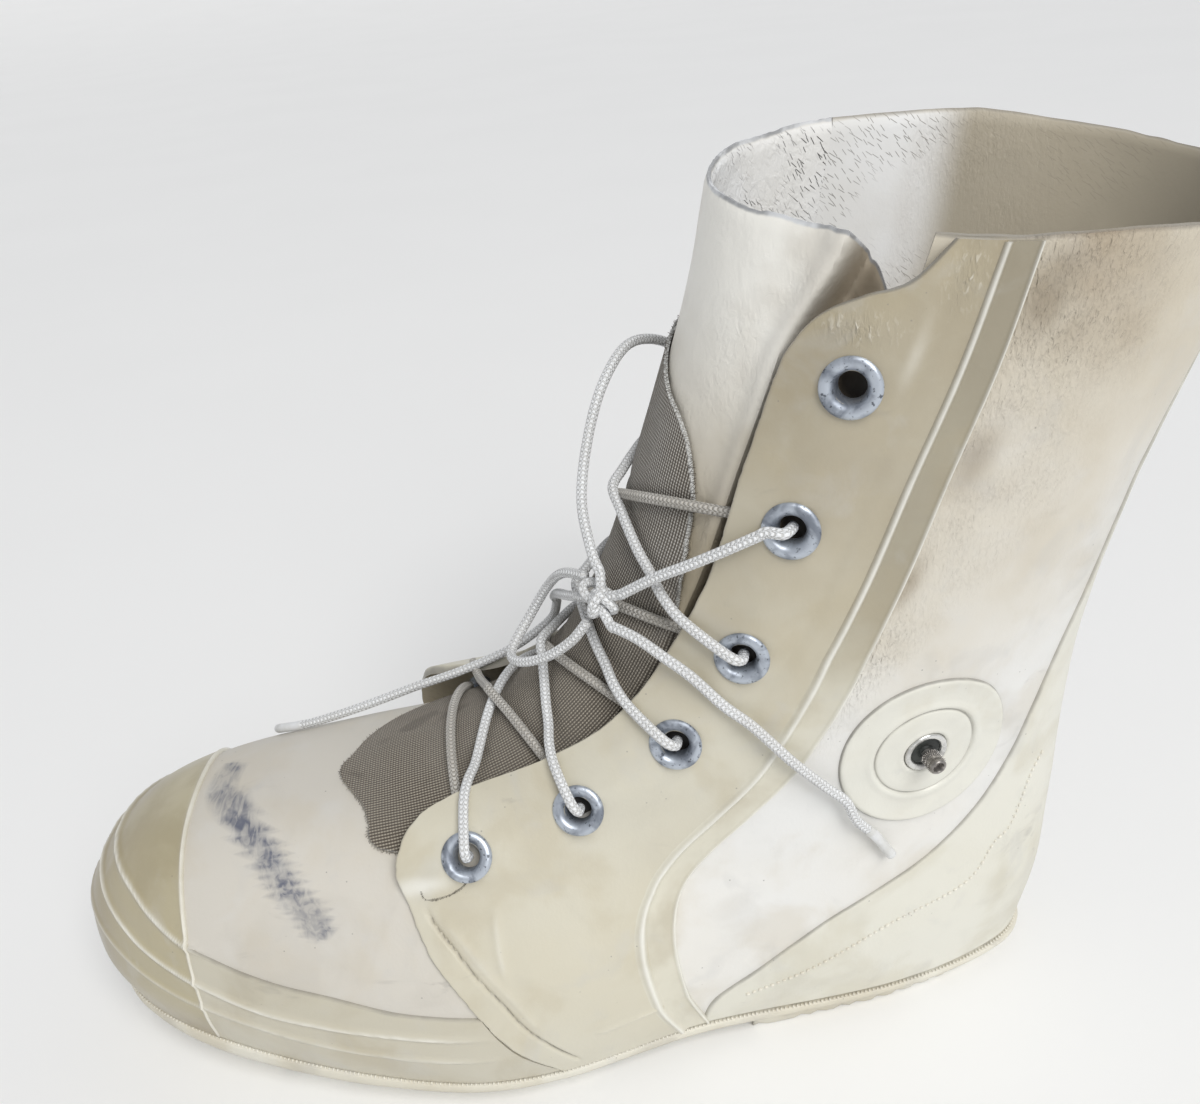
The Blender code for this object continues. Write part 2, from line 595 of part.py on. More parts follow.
def build_lace(mats):
    """The joined crossings between the flaps, then the knot with its loop and ends."""
    lace = mats["lace"]
    inner = [(v, -turn) for v, turn in EYELETS]
    tube("lace_bar", strand(EYELETS[0], inner[0], CROSS_OUT), lace)
    for k in range(4):
        name = f"lace_cross_{k + 1}"
        over = tube(name, strand(EYELETS[k], inner[k + 1], CROSS_OUT), lace)
        under = tube(f"{name}_under", strand(inner[k], EYELETS[k + 1], CROSS_OUT), lace, cutter=True)
        boolean(over, under, "UNION")
    at, normal, side, up = stand(*KNOT_AT)
    bpy.ops.mesh.primitive_uv_sphere_add(segments=12, ring_count=8, radius=1.0)
    knot = bpy.context.active_object
    knot.name = "lace_knot"
    frame = Matrix((side, up, normal)).transposed().to_4x4()
    size = Matrix.Diagonal((*(Vector(KNOT_HALF) * MM), 1.0))
    knot.matrix_world = Matrix.Translation(at * MM) @ frame @ size
    knot.data.materials.append(lace)
    for name, places, count in (
        ("lace_strand_lateral", STRAND_LATERAL, 10), ("lace_strand_medial", STRAND_MEDIAL, 16),
        ("lace_loop", BOW_LOOP, 16), ("lace_end_lateral", END_LATERAL, 22), ("lace_end_medial", END_MEDIAL, 22),
    ):
        cord(name, route(places, count), lace)


# ---------------------------------------------------------------- the whole boot


def main():
    """Builds every piece of the boot."""
    for obj in list(bpy.data.objects):
        bpy.data.objects.remove(obj, do_unlink=True)
    mats = {
        "shaft": finish("warm white rubber", (0.74, 0.69, 0.60), 0.55),
        "gusset": finish("gusset rubber", (0.76, 0.72, 0.64), 0.6),
        "panel": finish("cream rubber panel", (0.66, 0.59, 0.44), 0.45),
        "foxing": finish("cream rubber foxing", (0.68, 0.61, 0.46), 0.42),
        "sole": finish("pale sole rubber", (0.70, 0.66, 0.56), 0.6),
        "liner": finish("liner", (0.55, 0.50, 0.42), 0.85),
        "fabric": finish("tongue fabric", (0.36, 0.33, 0.28), 0.9),
        "metal": finish("zinc metal", (0.52, 0.55, 0.58), 0.4, 0.9),
        "dark metal": finish("dark valve metal", (0.16, 0.14, 0.12), 0.4, 0.8),
        "lace": finish("lace", (0.72, 0.72, 0.69), 0.8),
    }
    build_sole(mats)
    build_insole(mats)
    build_upper(mats)
    build_overlays(mats)
    build_flap(1, mats)
    build_flap(-1, mats)
    build_tongue(mats)
    build_eyelets(mats)
    build_valve(mats)
    build_lace(mats)


main()
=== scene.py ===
"""Looks for an insulated rubber cold-weather boot, left foot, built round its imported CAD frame.

+X is the outer side of the foot, -Y the toe and +Z up. Sizes are in millimetres, as in the boot's own
section table, and a mesh gets metres when it is made.

Every rubber piece is a plate between two skins of one form: v runs from the sole's edge (0) to the collar
(11), a whole number for each section, and turn runs round the boot from the toe over the outer side.
"""

from __future__ import annotations

import logging
import math
from collections.abc import Callable, Sequence
from dataclasses import dataclass, field, replace
from enum import Enum
from functools import partial
from itertools import product
from typing import NamedTuple

import bmesh
import bpy
import numpy as np
from mathutils import Matrix, Vector


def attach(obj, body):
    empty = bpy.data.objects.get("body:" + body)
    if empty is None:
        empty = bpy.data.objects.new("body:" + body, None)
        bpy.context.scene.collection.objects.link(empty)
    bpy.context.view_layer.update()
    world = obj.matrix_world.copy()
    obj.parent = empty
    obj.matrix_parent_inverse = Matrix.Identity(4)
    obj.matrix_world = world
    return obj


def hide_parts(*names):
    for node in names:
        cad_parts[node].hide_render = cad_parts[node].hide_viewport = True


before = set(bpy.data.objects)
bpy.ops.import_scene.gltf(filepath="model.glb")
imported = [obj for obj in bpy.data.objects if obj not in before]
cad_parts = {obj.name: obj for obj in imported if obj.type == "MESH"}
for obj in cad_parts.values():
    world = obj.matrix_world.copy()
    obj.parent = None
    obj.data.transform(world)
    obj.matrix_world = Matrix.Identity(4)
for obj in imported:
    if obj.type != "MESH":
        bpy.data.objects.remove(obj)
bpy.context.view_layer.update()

MM = 0.001
SEED = 3
ROOT = "boot"
CAP_BODY = "valve_cap"
SIDES = ((1, "lateral"), (-1, "medial"))
log = logging.getLogger("boot")

Array = np.ndarray
Colour = tuple[float, float, float]
Depth = Callable[[Array, Array], Array]
Marks = dict[str, tuple[Array, Array]]
Made = dict[str, bpy.types.Material]
Values = dict[int | str, object]
Profile = Sequence[tuple[float, float]]             # radius and height, or v and turn
Outline = Sequence[tuple[float, float, float]]      # v, first turn and last turn
Route = Sequence[tuple[float, float, float]]        # v, turn and distance out

# unrelated numbers that make noise look random
SCRAMBLE, SCRAMBLE_BY = (127.1, 311.7, 74.7), 43758.5453
# further than any edge of a panel, in millimetres
FAR = 99.0
# where a rounded edge has its rows, in its radius
ROUNDING = np.array([0.0, 0.04, 0.14, 0.32, 0.6, 1.0, 1.6])


# ---- numbers


def ease(value: Array | float) -> Array:
    """Smooth step from 0 to 1."""
    value = np.clip(value, 0.0, 1.0)
    return value * value * (3.0 - 2.0 * value)


def bell(away: Array | float, width: float) -> Array:
    """A smooth hump: 1 where away is 0, and nearly 0 two widths off."""
    return np.exp(-((away / width) ** 2))


def rounded(distance: Array, radius: float) -> Array:
    """The profile of a rounded edge: 0 at the edge itself and 1 from the radius on."""
    return np.sqrt(np.clip(1 - (1 - np.minimum(distance / radius, 1)) ** 2, 0, 1))


def run_along(line: Array) -> Array:
    """The distance along a line up to each of its points."""
    return np.concatenate([[0], np.cumsum(np.linalg.norm(np.diff(line, axis=0), axis=1))])


def on_curve(table: Array, slopes: Array, at: Array) -> Array:
    """Reads a table's smooth curve at some places, each from 0 to the last row's number."""
    row = np.clip(np.floor(at).astype(int), 0, len(table) - 2)
    part = (at - row)[..., None]
    square, cube = part ** 2, part ** 3
    return ((2 * cube - 3 * square + 1) * table[row] + (cube - 2 * square + part) * slopes[row]
            + (3 * square - 2 * cube) * table[row + 1] + (cube - square) * slopes[row + 1])


def smooth_rows(rows: Sequence[Sequence[float]], count: int) -> Array:
    """A smooth curve through rows of numbers.

    Args:
        rows: the numbers that it goes through.
        count: how many evenly numbered places are wanted.

    Returns:
        An array with a line for each place and a column for each number.
    """
    table = np.array(rows, float)
    return on_curve(table, np.gradient(table, axis=0), np.linspace(0, len(table) - 1, count))


def lumps(places: Array, size: float, seed: float = 0.0) -> Array:
    """Smooth lumpy noise.

    Args:
        places: points in millimetres, in the last axis.
        size: how wide a lump is, in millimetres.
        seed: picks another pattern.

    Returns:
        Values from -1 to 1, one for each point.
    """
    grid = places / size + 31.7 * seed
    cell = np.floor(grid)
    part = ease(grid - cell)
    total = 0.0
    for step in np.ndindex(2, 2, 2):
        shaken = np.sin((cell + np.array(step)) @ np.array(SCRAMBLE) + seed) * SCRAMBLE_BY
        weight = 1.0
        for axis, far in enumerate(step):
            weight = weight * (part[..., axis] if far else 1 - part[..., axis])
        total = total + weight * (2 * (shaken - np.floor(shaken)) - 1)
    return total


# ---- the boot's form


class Section(NamedTuple):
    """One level of the boot: where it stands at the front, side and back, and how wide it is."""

    front_y: float
    front_z: float
    side_z: float
    back_y: float
    back_z: float
    ball_half: float
    heel_half: float
    front_power: float
    back_power: float
    lean: float
    tilt: float
    wall: float


SECTIONS = {
    "sole edge":   Section(-286, 26, 13, 52, 9, 66, 46, 0.80, 0.74, 0, 0, 8.0),
    "bumper":      Section(-290, 44, 31, 57, 45, 68, 49, 0.80, 0.76, 0, 0, 8.0),
    "toe crown":   Section(-284, 68, 56, 58, 70, 65, 48, 0.82, 0.78, 0, 0, 8.0),
    "toe top":     Section(-262, 88, 74, 58, 92, 57, 46, 0.86, 0.80, 0, 0, 8.0),
    "vamp":        Section(-224, 100, 88, 58, 112, 50, 45, 0.92, 0.82, 0, 0, 8.0),
    "instep":      Section(-178, 107, 104, 59, 132, 45, 44, 1.00, 0.84, 0, 0, 7.5),
    "tongue foot": Section(-138, 119, 122, 61, 152, 43, 44, 1.00, 0.86, 0, 0, 6.5),
    "ankle":       Section(-108, 142, 147, 65, 174, 42, 45, 1.00, 0.88, -1, 0, 5.5),
    "low shaft":   Section(-87, 176, 178, 71, 198, 44, 48, 1.00, 0.90, -3, 0, 4.5),
    "shaft":       Section(-72, 214, 212, 80, 222, 48, 51, 1.00, 0.92, -6, 1, 4.0),
    "top shaft":   Section(-60, 248, 244, 89, 246, 51, 55, 0.95, 0.94, -9, 3, 3.6),
    "collar":      Section(-51, 281, 276, 96, 268, 55, 59, 0.90, 0.95, -12, 6, 3.2),
}
COLLAR_V = 11.0
THROAT_V = 5.0                  # the throat's lower end
THROAT_TURN = 66.0              # and its half width, in degrees of turn
FLAP_TURN = 46.0                # where a lace leaves the flap


class Stand(NamedTuple):
    """A point of the form with the directions at it."""

    at: Vector
    normal: Vector
    side: Vector
    up: Vector


class Form:
    """The outer form of the boot, and the skins that stand off it."""

    def __init__(self, sections: dict[str, Section]) -> None:
        """Keeps the sections as one table.

        Args:
            sections: the levels from the sole's edge up.
        """
        self.table = np.array(list(sections.values()), float)
        self.slopes = np.gradient(self.table, axis=0)

    def columns(self, v: Array) -> list[Array]:
        """Every size of the section at v, in the order of Section's fields."""
        return list(np.moveaxis(on_curve(self.table, self.slopes, v), -1, 0))

    def at(self, v: Array | float, turn: Array | float) -> Array:
        """Points of the form.

        Args:
            v: height along the boot, from 0 to COLLAR_V.
            turn: degrees round the boot.

        Returns:
            Points in millimetres.
        """
        v, turn = np.broadcast_arrays(np.asarray(v, float), np.asarray(turn, float))
        v = np.clip(v, 0.0, COLLAR_V)
        sizes = Section(*self.columns(v))
        along, across = -np.cos(np.radians(turn)), np.sin(np.radians(turn))
        y = sizes.front_y + (sizes.back_y - sizes.front_y) * (1 + along) / 2
        foot = 1 - ease((v - 3) / 3)
        heelward = ease((y + np.where(across < 0, 178, 160)) / 150)
        half = sizes.ball_half * (1 - heelward) + sizes.heel_half * heelward
        half = half - foot * np.where(across < 0, 6.5, 5.0) * bell(y + 75, 34)
        power = 1 + (sizes.front_power - 1) * ease(0.2 - along) + (sizes.back_power - 1) * ease(0.2 + along)
        swing = -9 * ease((-150 - y) / 150) + 2 * ease((y + 120) / 60) * ease((40 - y) / 60)
        x = np.sign(across) * half * np.abs(across) ** power + foot * swing + sizes.lean
        z = sizes.side_z + (sizes.front_z - sizes.side_z) * ease(-along)
        z = z + (sizes.back_z - sizes.side_z) * ease(along) - sizes.tilt * across
        return np.stack([x, y, z], -1)

    def normal(self, v: Array | float, turn: Array | float) -> Array:
        """Outward unit normals of the form."""
        v, turn = np.broadcast_arrays(np.asarray(v, float), np.asarray(turn, float))
        low = np.clip(v - 0.02, 0, COLLAR_V - 0.04)
        high = np.maximum(np.clip(v + 0.02, 0, COLLAR_V), 0.04)
        across = self.at(v, turn + 0.3) - self.at(v, turn - 0.3)
        out = np.cross(across, self.at(high, turn) - self.at(low, turn))
        return out / np.linalg.norm(out, axis=-1, keepdims=True)

    def skin(self, v: Array | float, turn: Array | float, out: Array | float = 0.0) -> Array:
        """Points that stand a distance out from the form."""
        return self.at(v, turn) + self.normal(v, turn) * np.asarray(out, float)[..., None]

    def wall(self, v: Array) -> Array:
        """Thickness of the upper at v."""
        return self.columns(np.clip(v, 0.0, COLLAR_V))[Section._fields.index("wall")]

    def stand(self, v: float, turn: float, out: float = 0.0) -> Stand:
        """A point with its normal, a direction across and a direction up the boot."""
        normal = Vector(self.normal(v, turn))
        up = Vector(self.at(v + 0.1, turn) - self.at(v - 0.1, turn))
        up = (up - normal * up.dot(normal)).normalized()
        return Stand(Vector(self.skin(v, turn, out)), normal, up.cross(normal), up)

    def nearest(self, places: Array, v: float, turn: float) -> tuple[Array, Array]:
        """The v and turn of the form's points nearest to some places.

        Args:
            places: points in millimetres, in the last axis.
            v: first guess.
            turn: first guess.

        Returns:
            Arrays of v and turn.
        """
        v_now = np.full(places.shape[:-1], float(v))
        turn_now = np.full(places.shape[:-1], float(turn))
        for _ in range(14):
            here = self.at(v_now, turn_now)
            by_v = (self.at(v_now + 0.01, turn_now) - here) / 0.01
            by_turn = (self.at(v_now, turn_now + 0.1) - here) / 0.1
            miss = places - here
            a, b, c = (by_v * by_v).sum(-1), (by_v * by_turn).sum(-1), (by_turn * by_turn).sum(-1)
            p, q = (miss * by_v).sum(-1), (miss * by_turn).sum(-1)
            whole = a * c - b * b
            v_now = np.clip(v_now + np.clip((c * p - b * q) / whole, -0.5, 0.5), 0.0, COLLAR_V - 0.02)
            turn_now = turn_now + np.clip((a * q - b * p) / whole, -12, 12)
        return v_now, turn_now


FORM = Form(SECTIONS)


def flat(v: Array, turn: Array) -> Array:
    """Metres across and along the boot from the middle of its front, so that a pattern stays straight."""
    track = FORM.at(v[..., None], turn[..., None] * np.linspace(0, 1, 31))
    across = np.sign(turn) * np.linalg.norm(np.diff(track, axis=-2), axis=-1).sum(-1)
    rows = np.linspace(0, COLLAR_V, 400)
    return np.stack([across, np.interp(v, rows, run_along(FORM.at(rows, 0.0)))], -1) * MM


def woven(v: Array, turn: Array) -> Array:
    """Metres across and along a cloth that is wrapped over the instep with its threads straight."""
    places = FORM.at(v, turn)
    line = FORM.at(np.linspace(3.2, COLLAR_V, 1100), 0.0)
    ahead = np.gradient(line[:, 1:], axis=0)
    steps = np.linalg.norm(ahead, axis=1)
    ahead /= steps[:, None]
    run = np.cumsum(steps)
    result = np.zeros((*places.shape[:-1], 2))
    for i, row in enumerate(places):
        away = row[:, None, 1:] - line[None, :, 1:]
        k = (away ** 2).sum(-1).argmin(1)
        away = away[np.arange(len(k)), k]
        along = run[k] + (away * ahead[k]).sum(1)
        depth = away[:, 0] * ahead[k][:, 1] - away[:, 1] * ahead[k][:, 0]
        x = row[:, 0] - line[k, 0]
        result[i] = np.stack([np.sign(x) * np.hypot(x, depth) * 1.06, along], -1)
    return result * MM


# ---- relief of the rubber


class Lie(Enum):
    """What a moulded line does to the surface."""

    RIDGE = "ridge"
    GROOVE = "groove"
    STEP = "step"


@dataclass(frozen=True)
class MouldLine:
    """A line that the mould leaves in the rubber.

    Attributes:
        points: v and turn of the places it runs through.
        height: how high or deep it is.
        width: how wide its flank is.
        lie: ridge, groove, or a step that is lower on the line's left.
        fade: over how long a stretch it dies away at each end.
    """

    points: Profile
    height: float
    width: float
    lie: Lie = Lie.RIDGE
    fade: float = 6.0

    def mirrored(self) -> MouldLine:
        """The same line on the other side of the boot."""
        return replace(self, points=tuple((v, -turn) for v, turn in reversed(self.points)))

    def height_at(self, places: Array) -> Array:
        """What the line adds at some places.

        Args:
            places: points of the form, in millimetres.

        Returns:
            Heights along the normal.
        """
        route = smooth_rows(self.points, 26 * (len(self.points) - 1))
        line = FORM.at(route[:, 0], route[:, 1])
        points = places.reshape(-1, 3)
        reach = 4 * self.width + 1
        low, high = line.min(0) - reach, line.max(0) + reach
        near = np.flatnonzero(((points > low) & (points < high)).all(-1))
        result = np.zeros(len(points))
        run = run_along(line)
        ahead = np.gradient(line, axis=0)
        left = np.cross(FORM.normal(route[:, 0], route[:, 1]), ahead)
        left /= np.linalg.norm(left, axis=1, keepdims=True)
        for part in np.array_split(near, max(1, len(near) // 4000)):
            if not len(part):
                continue
            away = points[part][:, None, :] - line[None, :, :]
            distance = (away ** 2).sum(-1)
            k = distance.argmin(1)
            distance = np.sqrt(distance[np.arange(len(part)), k])
            side = (away[np.arange(len(part)), k] * left[k]).sum(-1)
            ends = ease(run[k] / self.fade) * ease((run[-1] - run[k]) / self.fade) if self.fade else 1.0
            if self.lie is Lie.STEP:
                shape = ease(0.5 - side / self.width / 2) * bell(np.maximum(-side, 0), 9 * self.width)
            else:
                shape = bell(distance, self.width)
            sign = -1 if self.lie is Lie.GROOVE else 1
            result[part] = sign * self.height * shape * ends
        return result.reshape(places.shape[:-1])


# ridges that the mould leaves round the toe and the ball of the foot
BUMPER_LINES = (
    MouldLine(((2.45, -30), (2.6, -16), (2.62, 0), (2.6, 12), (2.48, 24), (2.3, 32), (2.08, 40), (1.95, 46)),
              1.35, 1.25, Lie.RIDGE, 12),
    MouldLine(((1.85, -34), (2.1, -24), (2.32, -8), (2.28, 8), (2.15, 18), (1.95, 27), (1.75, 34), (1.6, 40),
               (1.46, 46), (1.32, 54), (1.3, 63), (1.3, 74), (1.25, 83)), 1.15, 1.25, Lie.RIDGE, 24),
    MouldLine(((1.4, -30), (1.62, -22), (1.84, -8), (1.8, 8), (1.66, 18), (1.46, 27), (1.28, 34), (1.12, 42),
               (0.98, 52), (0.88, 63), (0.84, 74), (0.8, 84)), 0.8, 1.2, Lie.RIDGE, 24),
)
# the band along the side panel's front edge, and the folds behind it
PANEL_LINES = (
    MouldLine(((3.4, 66), (2.9, 72.2), (2.55, 76), (1.9, 81.6), (1.35, 85), (0.85, 88), (0.25, 90.5)),
              1.2, 0.6, Lie.GROOVE, 4),
    MouldLine(((3.3, 68.6), (2.7, 76), (1.9, 83), (1.2, 87)), 0.5, 1.4, Lie.RIDGE, 8),
    MouldLine(((3.75, 72), (3.1, 77), (2.6, 80), (1.9, 83.4)), 0.6, 1.5, Lie.RIDGE, 14),
    MouldLine(((0.95, 92), (0.98, 97), (1.02, 101.5)), 0.6, 0.8, Lie.RIDGE, 4),
)


def lines_on(side: int, lines: Sequence[MouldLine]) -> tuple[MouldLine, ...]:
    """The mould lines of the outer side, for one side."""
    return tuple(lines) if side > 0 else tuple(line.mirrored() for line in lines)


def shade_under_holes(places: Array, side: int) -> Array:
    """How much painted shade lies under the eyelet holes of one side, from 0 to 1."""
    total = np.zeros(places.shape[:-1])
    for v, turn in EYELETS:
        away = np.linalg.norm(places - FORM.at(v, side * turn), axis=-1)
        total = np.maximum(total, ease((7.5 - away) / 3))
    return total


def relief(places: Array, lines: Sequence[MouldLine]) -> Array:
    """The sum of some mould lines and the slow unevenness that all the rubber shares."""
    total = 0.22 * lumps(places, 26.0, 1.0) + 0.12 * lumps(places, 11.0, 2.0)
    for line in lines:
        total = total + line.height_at(places)
    return total


def laid(rows: Array, height: Array, lines: Sequence[MouldLine] = ()) -> Array:
    """A path at some v and turn, laid a height above the form and its unevenness."""
    v, turn = rows[:, 0], rows[:, 1]
    return FORM.skin(v, turn, height + relief(FORM.at(v, turn), lines))


def ridges(places: Array, lines: Sequence[MouldLine], lie: Lie = Lie.RIDGE) -> Array:
    """Where the crests of some mould lines lie, from 0 to 1, which is where rubber is rubbed pale and a
    highlight is painted.
    """
    total = np.zeros(places.shape[:-1])
    for line in lines:
        if line.lie is lie:
            total = np.maximum(total, np.abs(line.height_at(places)) / line.height * min(1.0, line.height))
    return total ** 1.6


# ---- meshes


def add_object(name: str, data: bpy.types.ID) -> bpy.types.Object:
    """An object in the scene that shows a mesh, light or camera."""
    obj = bpy.data.objects.new(name, data)
    bpy.context.scene.collection.objects.link(obj)
    return obj


def corners_of(mesh: bpy.types.Mesh) -> Array:
    """The point number of every face corner."""
    corners = np.zeros(len(mesh.loops), int)
    mesh.loops.foreach_get("vertex_index", corners)
    return corners


def make_object(
    name: str, points: Array, faces: Sequence[Sequence[int]], uv: Array | None = None,
    marks: dict[str, Array] | None = None, sharp: float = 42.0,
) -> bpy.types.Object:
    """A smooth-shaded mesh object at the origin.

    Args:
        name: the piece's name.
        points: places in millimetres.
        faces: corner numbers of each face.
        uv: two numbers for each point, in metres along the surface.
        marks: named values for each point, which finishes read.
        sharp: edges that bend more than this many degrees stay crisp.

    Returns:
        The object.
    """
    mesh = bpy.data.meshes.new(name)
    mesh.from_pydata(np.asarray(points, float).reshape(-1, 3) * MM, [], [tuple(map(int, f)) for f in faces])
    mesh.validate()
    work = bmesh.new()
    work.from_mesh(mesh)
    bmesh.ops.recalc_face_normals(work, faces=work.faces)
    work.to_mesh(mesh)
    work.free()
    if uv is not None:
        layer = mesh.uv_layers.new(name="surface")
        layer.data.foreach_set("uv", np.asarray(uv, float).reshape(-1, 2)[corners_of(mesh)].ravel())
    for mark, values in (marks or {}).items():
        data = mesh.attributes.new(mark, "FLOAT", "POINT").data
        data.foreach_set("value", np.asarray(values, float).ravel())
    mesh.shade_smooth()
    mesh.set_sharp_from_angle(angle=math.radians(sharp))
    return add_object(name, mesh)


def cut_away(obj: bpy.types.Object, cutter: bpy.types.Object, overlapping: bool = False) -> None:
    """Cuts a cutter, whose parts may be overlapping, out of an object and removes it."""
    modifier = obj.modifiers.new("cut", "BOOLEAN")
    modifier.operation, modifier.object, modifier.solver = "DIFFERENCE", cutter, "EXACT"
    modifier.use_self = overlapping
    seen = obj.evaluated_get(bpy.context.evaluated_depsgraph_get())
    cut = bpy.data.meshes.new_from_object(seen)
    obj.modifiers.remove(modifier)
    obj.data = cut
    bpy.data.objects.remove(cutter)


def ring_faces(rings: int, count: int, closed: bool = False, flip: bool = False) -> list[list[int]]:
    """Faces between rings of points.

    Args:
        rings: how many rings there are.
        count: points in each ring.
        closed: whether the last ring meets the first.
        flip: whether the faces run the other way round.

    Returns:
        Corner numbers.
    """
    k = np.arange(count)
    m = (k + 1) % count
    faces = []
    for i in range(rings if closed else rings - 1):
        here, there = i * count, (i + 1) % rings * count
        quads = np.stack([here + k, here + m, there + m, there + k], 1)
        faces += (quads[:, [0, 3, 2, 1]] if flip else quads).tolist()
    return faces


def slab_faces(rings: int, count: int, flip: bool = False) -> list[list[int]]:
    """Faces of a stack of rings whose ends are bridged from side to side, as a sole's are."""
    faces = ring_faces(rings, count, flip=flip)
    last = count * (rings - 1)
    for k in range(count // 2):
        quad = list(dict.fromkeys([k, k + 1, (count - k - 1) % count, (count - k) % count]))
        quad = quad if flip else quad[::-1]
        faces += [quad, [last + q for q in reversed(quad)]]
    return faces


def grid_faces(rows: int, cols: int, closed: bool, keep: Array | None = None) -> list[tuple[int, ...]]:
    """Faces of a plate with an outer and an inner grid, and a wall along each open edge.

    Args:
        rows: rows of points in each grid.
        cols: columns of points in each grid.
        closed: whether the last column meets the first.
        keep: which cells are there, or all of them.

    Returns:
        Corner numbers; the inner grid's points follow the outer grid's.
    """
    span = cols if closed else cols - 1
    i, j = np.meshgrid(np.arange(rows - 1), np.arange(span), indexing="ij")
    if keep is not None:
        i, j = i[keep], j[keep]
    i, j = i.ravel(), j.ravel()
    k = (j + 1) % cols
    quads = np.stack([i * cols + j, i * cols + k, (i + 1) * cols + k, (i + 1) * cols + j], 1)
    inner = rows * cols
    edges = np.concatenate([quads[:, [0, 1]], quads[:, [1, 2]], quads[:, [2, 3]], quads[:, [3, 0]]])
    code = edges[:, 0] * inner + edges[:, 1]
    lone = edges[~np.isin(code, edges[:, 1] * inner + edges[:, 0])]
    walls = np.stack([lone[:, 1], lone[:, 0], lone[:, 0] + inner, lone[:, 1] + inner], 1)
    return [*quads.tolist(), *(quads[:, ::-1] + inner).tolist(), *walls.tolist()]


def plate(
    name: str, high: Array, low: Array, closed: bool = False, keep: Array | None = None,
    marks: Marks | None = None, uv: Array | None = None,
) -> bpy.types.Object:
    """A closed plate between an outer and an inner grid of points.

    Args:
        name: the piece's name.
        high: points of the outer side, in rows and columns.
        low: points of the inner side.
        closed: whether the last column meets the first.
        keep: which cells are there, or all of them.
        marks: named values for the outer and the inner points.
        uv: metres across and along for each point.

    Returns:
        The object.
    """
    rows, cols = high.shape[:2]
    points = np.concatenate([high.reshape(-1, 3), low.reshape(-1, 3)])
    used, faces = np.unique(np.array(grid_faces(rows, cols, closed, keep)), return_inverse=True)
    named = {k: np.concatenate([a.ravel(), b.ravel()])[used] for k, (a, b) in (marks or {}).items()}
    if uv is not None:
        uv = np.concatenate([uv.reshape(-1, 2), uv.reshape(-1, 2)])[used]
    return make_object(name, points[used], faces.reshape(-1, 4), uv, named)


def outside(values: Array) -> tuple[Array, Array]:
    """A mark that only a plate's outer points carry."""
    return values, np.zeros_like(values)


def within(values: Array) -> tuple[Array, Array]:
    """A mark that only a plate's inner points carry."""
    return np.zeros_like(values), values


def turned(
    name: str, profile: Profile, stand: Stand, count: int, loop: bool = True,
    shake: float = 0.0,
) -> bpy.types.Object:
    """A turned piece whose axis is the normal of a stand.

    Args:
        name: the piece's name.
        profile: radius and height of each ring.
        stand: where it stands.
        count: sides.
        loop: whether the last ring joins the first; else both ends are capped.
        shake: unevenness of the rings, for wear.

    Returns:
        The object.
    """
    angle = np.linspace(0, 2 * math.pi, count, endpoint=False)
    round_ = np.outer(np.cos(angle), np.array(stand.side)) + np.outer(np.sin(angle), np.array(stand.up))
    rings = [np.array(stand.at) + np.array(stand.normal) * h + round_ * r for r, h in profile]
    points = np.stack(rings)
    if shake:
        points = points + np.array(stand.normal) * shake * lumps(points, 4.0, 5.0)[..., None]
    n = len(profile)
    faces = ring_faces(n, count, loop)
    if not loop:
        faces += [tuple(range(count))[::-1], tuple(range(count * (n - 1), count * n))]
    return make_object(name, points.reshape(-1, 3), faces)


def place(
    obj: bpy.types.Object, finish: bpy.types.Material, slot: str, *nodes: str, body: str = ROOT,
) -> None:
    """Gives a piece its finish, the body it rides on and the CAD nodes it stands for."""
    obj.data.materials.clear()
    obj.data.materials.append(finish)
    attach(obj, body)
    if nodes:
        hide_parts(*nodes)
    log.info("%s: %d faces", obj.name, len(obj.data.polygons))


